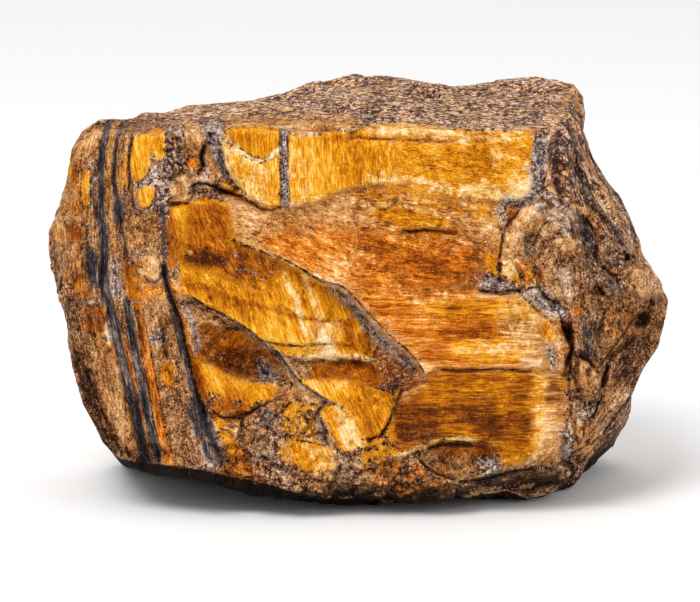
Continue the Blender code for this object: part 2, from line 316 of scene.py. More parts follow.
# %% Ledges, lumps and hollows
# A ledge is its edge as (right, down, drop in mm), with the lower side on its right hand, and
# how far from the edge its floor climbs back, in squares.
LEDGES = {
    "upper_slab": (
        ((284, 206, 1.2), (300, 204, 1.3), (325, 198, 1.1), (350, 187, 0.5), (390, 182, 0.2),
         (450, 192, 0.2), (490, 200, 0.4), (514, 200, 0.4)), 45,
    ),
    "middle": (
        ((228, 239, 0.2), (248, 247, 0.8), (275, 258, 1.3), (300, 269, 1.6), (320, 280, 2.2),
         (340, 284, 2.8), (352, 292, 3.0), (362, 306, 3.0), (375, 320, 3.2), (388, 333, 3.2),
         (402, 345, 3.0), (415, 358, 2.4), (425, 372, 1.2), (432, 384, 0.2)), 75,
    ),
    "lower": (
        ((172, 288, 0.3), (190, 297, 1.2), (205, 306, 1.8), (222, 314, 2.2), (240, 324, 2.4),
         (262, 341, 2.4), (275, 350, 2.2), (287, 364, 2.0), (300, 382, 1.6), (318, 394, 1.2),
         (340, 406, 0.3)), 70,
    ),
    "shelf": (((262, 341, 0.6), (300, 347, 0.8), (345, 345, 0.8), (372, 352, 0.3)), 40),
    "bleached_edge": (((298, 357, 0.2), (330, 358, 0.8), (358, 357, 0.9), (378, 364, 0.3)), 30),
    "knob_edge": (
        ((556, 221, 0.1), (546, 222, 0.7), (541, 227, 1.0), (536, 238, 1.0), (532, 247, 0.8),
         (531, 256, 0.2)), 14),
    "flank_ridge": (
        ((612, 262, 0.2), (599, 242, 0.8), (590, 226, 1.1), (578, 212, 1.1), (560, 200, 1.3),
         (550, 184, 2.0), (547, 162, 2.2), (550, 140, 1.8), (555, 122, 1.4), (566, 100, 1.0),
         (574, 86, 0.8)), 34),
    "right_lip": (((568, 462, 1.5), (590, 440, 2), (612, 410, 2), (640, 385, 1.5)), 60),
}
WALL_LEAST, WALL_PER_DROP, LEDGE_FADE = 2.0, 3.2, 22  # squares

CRACKS = {
    "slab_end": (0.35, 4, ((284, 130), (284, 165), (286, 206))),
    "upper_left": (1.5, 8, ((205, 122), (213, 150), (222, 172), (235, 185))),
    "block_foot": (1.2, 5, ((170, 203), (195, 192), (225, 193), (262, 208))),
    "lump_side": (0.9, 4, ((184, 125), (181, 150), (178, 176), (186, 203))),
    "lower_left": (0.9, 4, ((164, 268), (169, 292), (180, 322), (190, 362), (202, 408),
                            (220, 460))),
    "left_crease": (0.9, 4, ((80, 358), (88, 375), (96, 396), (104, 415), (119, 448))),
    "left_band": (0.5, 5, ((108, 124), (102, 152), (101, 200), (105, 250), (106, 290),
                           (122, 360), (137, 418), (145, 460))),
    "second_band": (0.4, 4, ((127, 303), (134, 333), (143, 386), (158, 458))),
    "right_seam": (0.9, 6, ((540, 132), (543, 165), (538, 195), (516, 206), (508, 230))),
    "knob_side": (0.4, 4, ((545, 222), (536, 240), (540, 285), (566, 322), (570, 365))),
}
SWELLS = {
    "round_lump": (1.0, (194, 140), (14, 22)),
    "left_block": (0.5, (183, 188), (11, 13)),
    "low_knob": (1.4, (590, 378), (16, 24)),
    "grey_pit": (-1.2, (546, 303), (20, 12)),
    "flank_saddle": (-2.6, (588, 165), (20, 42)),
    "flank_hollow": (-1.1, (592, 246), (13, 22)),
    "side_hollow": (-2.2, (641, 321), (13, 10)),
    "bowl": (-1.6, (460, 462), (44, 20)),
    "lip_hollow": (-1.8, (532, 484), (32, 12)),
    "recess": (-1.6, (255, 365), (48, 22)),
    "foot_scoop": (-1.4, (235, 468), (22, 16)),
    "top_dip": (-1.6, (452, 100), (44, 18)),
}
SCARS = {
    "back_shell": (3.2, (-8, 21, 30), 15),
    "back_chip": (2.4, (18, 21, 12), 10),
    "back_notch": (2.0, (24, 19, 40), 8),
    "left_shell": (2.2, (-38, 8, 20), 11),
    "left_chip": (1.4, (-39, -4, 40), 6),
    "right_shell": (2.0, (34, 10, 14), 9),
    "top_chip": (1.2, (-6, 12, 52), 9),
    "top_step": (0.9, (18, 8, 51), 10),
}


def relief(places):
    """The height in mm that the large features give each place on the sheet."""
    height = np.zeros(len(places))
    for line, climb in LEDGES.values():
        distance, below, drop = line_distance(places, line)
        width = WALL_LEAST + WALL_PER_DROP * drop
        wall = smooth_step(0, 1, below / width + 0.2)
        floor = wall * np.exp(-((distance / climb) ** 2))
        height -= drop * floor * end_fade(places, line, LEDGE_FADE)
    for depth, half_width, line in CRACKS.values():
        distance = line_distance(places, line)[0]
        height -= depth * np.exp(-((distance / half_width) ** 2))
    for rise, middle, radii in SWELLS.values():
        away = np.hypot(*((places - middle) / radii).T)
        height += rise * (1 - smooth_step(0.35, 1.15, away))
    return height


# %% [markdown]
# ## Small steps and cracks
# Seen close, the face is built of thin plates, chips and hair cracks. A plate is an outline
# with its rise in mm and how wide its edge is in squares. A hair crack is a depth, half of
# its width and its line. They are small, but each throws its own thin shadow.

# %% Plates and hair cracks
PLATES = {
    "half_moon": (-0.7, 2, (
        (222, 131), (235, 128), (250, 126), (265, 127), (280, 129), (280, 141), (275, 150),
        (262, 160), (253, 158), (243, 151), (233, 143), (226, 138))),
    "tan_block": (0.6, 3, (
        (172, 183), (178, 176), (186, 174), (193, 180), (190, 197), (186, 203), (172, 202))),
    "lip_strip": (-0.8, 3, (
        (350, 140), (352, 124), (400, 120), (460, 122), (536, 122), (536, 135), (480, 141),
        (430, 142), (380, 139))),
    "window": (0.25, 2, (
        (132, 140), (140, 133), (157, 127), (165, 134), (166, 155), (158, 161), (150, 167),
        (143, 178), (136, 181), (130, 172))),
    "low_window": (0.25, 2, (
        (134, 190), (141, 186), (155, 186), (152, 205), (142, 210), (134, 200))),
    "grain_block": (0.4, 3, (
        (136, 262), (148, 252), (160, 268), (158, 280), (148, 279), (139, 271))),
    "three_corner": (0.8, 4, (
        (205, 150), (211, 142), (218, 150), (222, 172), (217, 181), (210, 172), (205, 165))),
    "tan_plate": (0.4, 2, ((505, 231), (514, 225), (524, 236), (521, 250), (507, 253))),
    "tan_step": (0.5, 3, ((518, 208), (531, 202), (548, 207), (538, 220), (524, 224))),
    "cream_chip": (0.5, 2, ((502, 262), (512, 258), (517, 270), (510, 279), (502, 274))),
    "grey_column": (-0.5, 3, ((525, 232), (535, 234), (534, 256), (526, 258))),
    "knob_face": (0.5, 3, ((550, 226), (572, 223), (577, 244), (563, 254), (550, 243))),
    "knob_low": (0.4, 3, ((541, 256), (556, 258), (560, 276), (548, 284), (540, 272))),
    "pale_lump": (0.6, 4, ((561, 268), (571, 266), (576, 288), (570, 306), (562, 292))),
    "knob_pit": (-0.4, 4, ((540, 242), (548, 239), (552, 246), (547, 253), (541, 251))),
    "dark_recess": (-0.8, 4, (
        (580, 214), (589, 222), (600, 246), (602, 270), (592, 278), (584, 258), (580, 236))),
    "vein": (0.4, 2, (
        (521, 291), (533, 287), (543, 289), (550, 298), (562, 304), (568, 312), (562, 321),
        (550, 319), (540, 308), (528, 299))),
    "tube": (0.5, 3, (
        (548, 322), (556, 326), (562, 336), (571, 350), (566, 366), (556, 350), (547, 336))),
    "vein_hole": (-1.2, 3, ((563, 320), (572, 322), (574, 334), (568, 342), (562, 332))),
    "notch": (-1.0, 3, ((588, 282), (600, 286), (606, 296), (598, 296), (590, 290))),
    "box_hole": (-0.8, 2, ((610, 274), (618, 274), (618, 284), (611, 282))),
    "dark_column": (-0.6, 5, ((581, 322), (599, 320), (600, 356), (583, 358), (579, 340))),
    "ear": (0.8, 3, (
        (580, 360), (592, 362), (598, 376), (596, 398), (584, 398), (578, 380))),
    "under_ear": (-0.8, 3, (
        (576, 404), (586, 400), (598, 402), (596, 418), (582, 420), (576, 414))),
    "edge_hole": (-1.2, 3, ((604, 366), (610, 364), (608, 380), (602, 388), (600, 378))),
    "hip": (0.8, 4, (
        (632, 268), (645, 272), (658, 290), (650, 300), (640, 296), (634, 284))),
    "small_hole": (-0.9, 2, ((624, 254), (629, 253), (631, 259), (627, 262))),
    "rock_lump": (0.7, 3, ((586, 240), (600, 244), (606, 262), (598, 280), (587, 276))),
    "dark_lump": (0.6, 3, ((607, 278), (615, 274), (618, 294), (612, 304), (605, 296))),
    "low_facet": (-0.8, 5, ((638, 318), (656, 298), (668, 300), (660, 340), (640, 350))),
    "low_chip": (0.6, 4, ((604, 318), (624, 312), (630, 334), (616, 350), (602, 344))),
    "crumb_floor": (-0.9, 6, (
        (194, 322), (225, 326), (258, 344), (282, 366), (288, 380), (262, 381), (240, 377),
        (222, 368), (200, 358), (192, 345))),
    "brown_step": (-0.7, 4, (
        (290, 360), (330, 360), (366, 361), (380, 372), (378, 383), (350, 379), (300, 379))),
    "bowl_floor": (-0.8, 3, (
        (410, 455), (424, 445), (445, 440), (480, 441), (494, 449), (502, 462), (490, 474),
        (472, 482), (452, 480), (436, 472), (422, 464))),
    "lip_floor": (-1.2, 3, (
        (470, 484), (500, 476), (520, 472), (545, 469), (562, 472), (560, 482), (530, 492),
        (470, 494))),
    "lower_panel": (-0.5, 3, (
        (430, 371), (460, 368), (525, 368), (566, 372), (568, 470), (500, 440), (440, 438),
        (398, 440), (392, 400))),
    "flat_wedge": (-0.3, 2, (
        (462, 192), (500, 190), (508, 197), (500, 206), (470, 204))),
}
HAIR_CRACKS = (
    (0.8, 2.0, ((190, 188), (198, 183), (212, 186), (224, 191), (240, 197), (252, 203),
                (262, 208), (272, 210), (285, 205))),
    (0.6, 1.8, ((170, 203), (180, 202), (188, 204))),
    (1.0, 2.2, ((205, 143), (202, 150), (200, 158), (203, 166), (198, 173))),
    (0.6, 1.4, ((522, 206), (517, 215), (509, 223), (504, 232), (502, 246), (499, 258))),
    (0.8, 1.8, ((262, 341), (282, 345), (300, 346), (330, 344), (352, 346))),
    (0.9, 2.2, ((566, 328), (571, 340), (573, 350), (568, 360), (566, 374))),
    (0.6, 1.8, ((438, 369), (470, 370), (500, 368), (530, 370))),
    (0.9, 2.0, ((521, 291), (505, 293), (482, 290))),
    (0.8, 2.2, ((187, 296), (205, 306), (225, 315))),
    (0.8, 2.2, ((560, 200), (575, 210), (590, 222), (598, 240), (600, 262), (612, 275))),
    (0.8, 2.4, ((608, 185), (615, 205), (628, 225), (640, 252))),
    (0.7, 2.0, ((590, 197), (604, 220), (622, 245), (640, 262))),
    (0.8, 2.4, ((598, 300), (604, 318), (600, 340), (606, 362), (598, 385))),
    (0.9, 2.4, ((658, 296), (643, 318), (628, 345), (612, 362), (601, 388), (592, 420))),
    (0.5, 1.6, ((100, 142), (97, 170), (95, 198), (98, 225), (101, 250), (103, 285),
                (111, 325), (116, 360), (126, 400), (136, 442))),
    (0.4, 1.5, ((118, 142), (114, 165), (115, 190), (122, 222), (128, 256))),
    (0.5, 1.6, ((137, 310), (141, 335), (146, 365), (152, 400), (160, 435))),
    (0.5, 1.6, ((133, 137), (130, 150), (129, 168), (130, 182), (134, 205))),
    (0.6, 1.8, ((205, 412), (222, 417), (245, 415), (262, 406), (285, 396))),
    (0.7, 2.0, ((298, 440), (310, 425), (318, 412), (330, 403))),
    (0.8, 2.0, ((402, 392), (396, 405), (391, 420), (382, 436), (368, 440))),
    (0.5, 1.8, ((280, 308), (305, 320), (340, 321))),
    (0.7, 2.2, ((222, 452), (235, 446), (246, 452), (250, 470))),
    (0.7, 2.0, ((405, 231), (430, 230), (455, 233))),
    (0.6, 1.8, ((372, 206), (384, 209), (398, 201))),
    (0.6, 2.0, ((52, 240), (60, 246), (66, 262), (60, 290))),
    (0.9, 2.2, ((578, 356), (588, 359), (594, 366), (598, 374))),
    (0.9, 2.0, ((572, 340), (573, 352), (569, 362), (571, 374))),
    (0.6, 1.8, ((568, 376), (570, 400), (574, 425), (576, 448))),
    (0.5, 1.8, ((541, 290), (546, 299), (556, 303), (566, 309))),
    (0.7, 2.0, ((630, 396), (618, 412), (604, 432), (590, 444), (584, 456))),
    (0.5, 1.8, ((516, 263), (524, 276), (520, 290))),
    (0.5, 1.8, ((530, 262), (540, 275), (545, 288))),
    (0.7, 2.2, ((575, 398), (588, 404), (600, 398))),
)

# %% Broken ground
# Outlines where the stone broke to crumbs and not to plates, with how rough each is.
RUBBLE = (
    (1.0, ((165, 122), (205, 119), (224, 122), (222, 150), (232, 182), (262, 207), (215, 192),
           (190, 187), (186, 204), (168, 203), (160, 160))),
    (0.6, ((497, 205), (530, 199), (560, 198), (585, 212), (584, 290), (578, 360), (572, 440),
           (566, 470), (560, 420), (568, 380), (560, 330), (535, 300), (505, 292), (480, 290),
           (482, 262), (500, 250))),
    (0.45, ((580, 208), (612, 235), (640, 270), (655, 300), (640, 330), (620, 350), (602, 385),
            (580, 450), (568, 450), (576, 360), (582, 290))),
    (0.7, ((198, 320), (230, 326), (260, 345), (285, 368), (285, 382), (255, 381), (222, 368),
           (195, 358))),
    (0.8, ((200, 405), (230, 414), (268, 400), (300, 392), (330, 402), (318, 440), (335, 475),
           (360, 450), (400, 445), (420, 470), (450, 482), (400, 500), (300, 500), (220, 480),
           (205, 440))),
    (0.6, ((150, 300), (175, 300), (190, 360), (205, 420), (222, 470), (172, 470), (160, 400))),
    (0.5, ((50, 200), (90, 190), (100, 300), (118, 400), (140, 462), (110, 460), (70, 350))),
    (0.7, ((322, 281), (345, 285), (375, 320), (405, 346), (424, 372), (400, 385), (370, 358),
           (350, 310))),
    (0.5, ((128, 210), (160, 205), (166, 290), (128, 298))),
    (0.6, ((420, 445), (500, 445), (565, 465), (560, 490), (440, 495))),
    (0.35, ((236, 204), (300, 204), (350, 190), (400, 182), (500, 206), (482, 262), (440, 262),
            (400, 240), (330, 225), (270, 262), (230, 240))),
)


EDGE_REACH, CRACK_REACH, RUBBLE_EDGE = 12, 16, 6  # squares


def fine_relief(places, wander):
    """The height in mm of the small plates and hair cracks at each place on the sheet."""
    height = np.zeros(len(places))
    strayed = places + wander
    for rise, edge, outline in PLATES.values():
        near = near_box(places, outline, EDGE_REACH)
        depth = area_depth(strayed[near], outline)
        height[near] += rise * smooth_step(-edge / 2, edge / 2, depth)
    for depth, half_width, line in HAIR_CRACKS:
        near = near_box(places, line, CRACK_REACH)
        distance = line_distance(strayed[near], line)[0]
        height[near] -= depth * np.exp(-((distance / half_width) ** 2))
    return height


def crumble(places):
    """How broken the ground is at each place on the sheet, from 0 to 1."""
    rough = np.zeros(len(places))
    for amount, outline in RUBBLE:
        near = near_box(places, outline, EDGE_REACH)
        share = smooth_step(-RUBBLE_EDGE, RUBBLE_EDGE, area_depth(places[near], outline))
        rough[near] = np.maximum(rough[near], amount * share)
    return rough


# %% [markdown]
# ## The rough skin
# Everywhere else the skin is broad lumps, flat tilted facets as wide as a fingernail, and
# small chips. Noise gives all three. A facet is a cell of the Voronoi pattern that leans its
# own way, with the step to the next one eased, as frost and sand have worn it. Crumbs are
# the same cells, smaller, with a crack between each two.

# %% Lumps, facets, chips and crumbs
LUMP_SIZE, LUMP_HEIGHT = 16.0, 1.0
FACET_SIZE, FACET_HEIGHT = 8.5, 2.6
FACET_WANDER, FACET_EASE = 0.35, 0.16
CHIP_SIZE, CHIP_HEIGHT = 3.6, 0.42
GRIT_SIZE, GRIT_HEIGHT = 0.8, 0.10
CRUMB_SIZES = ((3.6, 1.5), (1.4, 0.8))  # mm across and mm high
CRUMB_CRACK, CRUMB_CRACK_DEPTH = 0.16, 0.3
CRUMB_STRAY_SIZE, CRUMB_STRAY = 2.0, 0.6  # mm
FACE_CALM, TOP_CALM = 0.22, 0.5


def facet_height(point):
    """The height in mm of the tilted facets, eased where two of them meet."""
    place = point / FACET_SIZE
    place += noise.noise_vector(place) * FACET_WANDER
    distances, cells = noise.voronoi(place)
    tilts = [noise.noise_vector(cell * LUMP_SIZE).dot(place - cell) for cell in cells[:2]]
    share = min((distances[1] - distances[0]) / FACET_EASE, 1)
    share = 0.5 + 0.5 * share * (2 - share)
    return FACET_HEIGHT * (tilts[0] * share + tilts[1] * (1 - share))


def crumb_height(point):
    """The height in mm of chips of two sizes, each tilted its own way, with a crack between."""
    strayed = point + noise.noise_vector(point / CRUMB_STRAY_SIZE) * CRUMB_STRAY
    height = 0
    for size, rise in CRUMB_SIZES:
        place = strayed / size
        distances, cells = noise.voronoi(place)
        tilt = noise.noise_vector(cells[0] * LUMP_SIZE).dot(place - cells[0])
        crack = min((distances[1] - distances[0]) / CRUMB_CRACK, 1) - 1
        height += rise * (tilt + CRUMB_CRACK_DEPTH * crack)
    return height


def scar_depth(points):
    """How deep the scars are at each point, in mm."""
    depth = np.zeros(len(points))
    for deep, middle, radius in SCARS.values():
        away = np.linalg.norm(points - middle, axis=1) / radius
        depth += deep * (1 - smooth_step(0.3, 1.0, away))
    return depth


def hold_outline(points, slack):
    """Draws in what the rough skin pushed out past the outline, give or take the slack."""
    places = to_sheet(points)
    distance, outside, _ = line_distance(places, OUTLINE + OUTLINE[:1])
    inward = np.mean(OUTLINE, axis=0) - places
    inward /= np.hypot(inward[:, 0], inward[:, 1])[:, None]
    past = np.where(outside < 0, np.maximum(distance - slack, 0), 0)
    pull = past[:, None] * inward * SHEET_SQUARE
    return points + pull[:, :1] * np.array(RIGHT) - pull[:, 1:] * np.array(UP)


# %% Move the points
STRAYS = ((2.4, 2.4), (0.7, 1.1))  # how wide a stray is in mm, and how far it goes in squares
OUTLINE_SLACK = 1.0  # squares
BROKEN_LEAST, GRIT_CALM = 0.02, 0.7


def stray(points):
    """A small wandering for each point, in squares, that makes a drawn edge ragged."""
    wander = np.zeros((len(points), 2))
    for size, reach in STRAYS:
        wander[:, 0] += reach * noise_at(points + 50, size, 1)
        wander[:, 1] += reach * noise_at(points - 50, size, 1)
    return wander


seen = smooth_step(0.05, 0.35, facing_eye)
front = smooth_step(0.6, 0.9, facing_eye)
top = smooth_step(0.8, 0.95, normals[:, 2])
calm = (1 - (1 - FACE_CALM) * front) * (1 - (1 - TOP_CALM) * top)

places = to_sheet(points)
wander = stray(points)
rough = crumble(places + wander * 2) * seen
skin = LUMP_HEIGHT * noise_at(points, LUMP_SIZE, 2, 0.9)
skin += np.array([facet_height(Vector(point)) for point in points])
skin += CHIP_HEIGHT * noise_at(points, CHIP_SIZE, 3, 0.9)
skin = skin * calm - scar_depth(points)
skin += GRIT_HEIGHT * noise_at(points, GRIT_SIZE, 1) * (1 - GRIT_CALM * front * (1 - rough))
broken = np.flatnonzero(rough > BROKEN_LEAST)
skin[broken] += rough[broken] * [crumb_height(Vector(point)) for point in points[broken]]
struck = (relief(places + wander) + fine_relief(places, wander)) * seen

points = points + normals * skin[:, None] - np.outer(struck, AWAY)
points = hold_outline(points, OUTLINE_SLACK + wander[:, 0] / 2)
points[:, 2] = np.maximum(points[:, 2], 0)
stone.data.vertices.foreach_set("co", (points * MM).ravel())
stone.data.update()
print("relief, mm:", round(struck.min(), 2), "to", round(struck.max(), 2))

# %% [markdown]
# ## Thin the mesh
# The even skin has far more faces than the flat places need. The Decimate modifier folds
# edges away where that changes the shape least. The back is thinned first and hardest, in
# edit mode, so that the broken face keeps its fine points. Points below the floor were set
# on it, so the lump has a flat foot to rest on.

# %% Thin the back, then the whole
BACK_SHARE = 0.28
MOST_TRIANGLES = 190_000


def count_triangles(mesh):
    mesh.calc_loop_triangles()
    return len(mesh.loop_triangles)


start_piece()
stone.select_set(True)
bpy.context.view_layer.objects.active = stone
full = count_triangles(stone.data)
away_from_eye = read_points(stone.data, "normal") @ np.array(AWAY) > -0.05
stone.data.vertices.foreach_set("select", away_from_eye)
bpy.ops.object.mode_set(mode="EDIT")
bpy.ops.mesh.select_mode(type="VERT")
bpy.ops.mesh.decimate(ratio=BACK_SHARE)
bpy.ops.object.mode_set(mode="OBJECT")
thinned = count_triangles(stone.data)
apply_modifier(stone, "DECIMATE", ratio=min(MOST_TRIANGLES / thinned, 1))
bpy.ops.object.shade_smooth()
print("triangles:", full, "then", thinned, "then", count_triangles(stone.data))
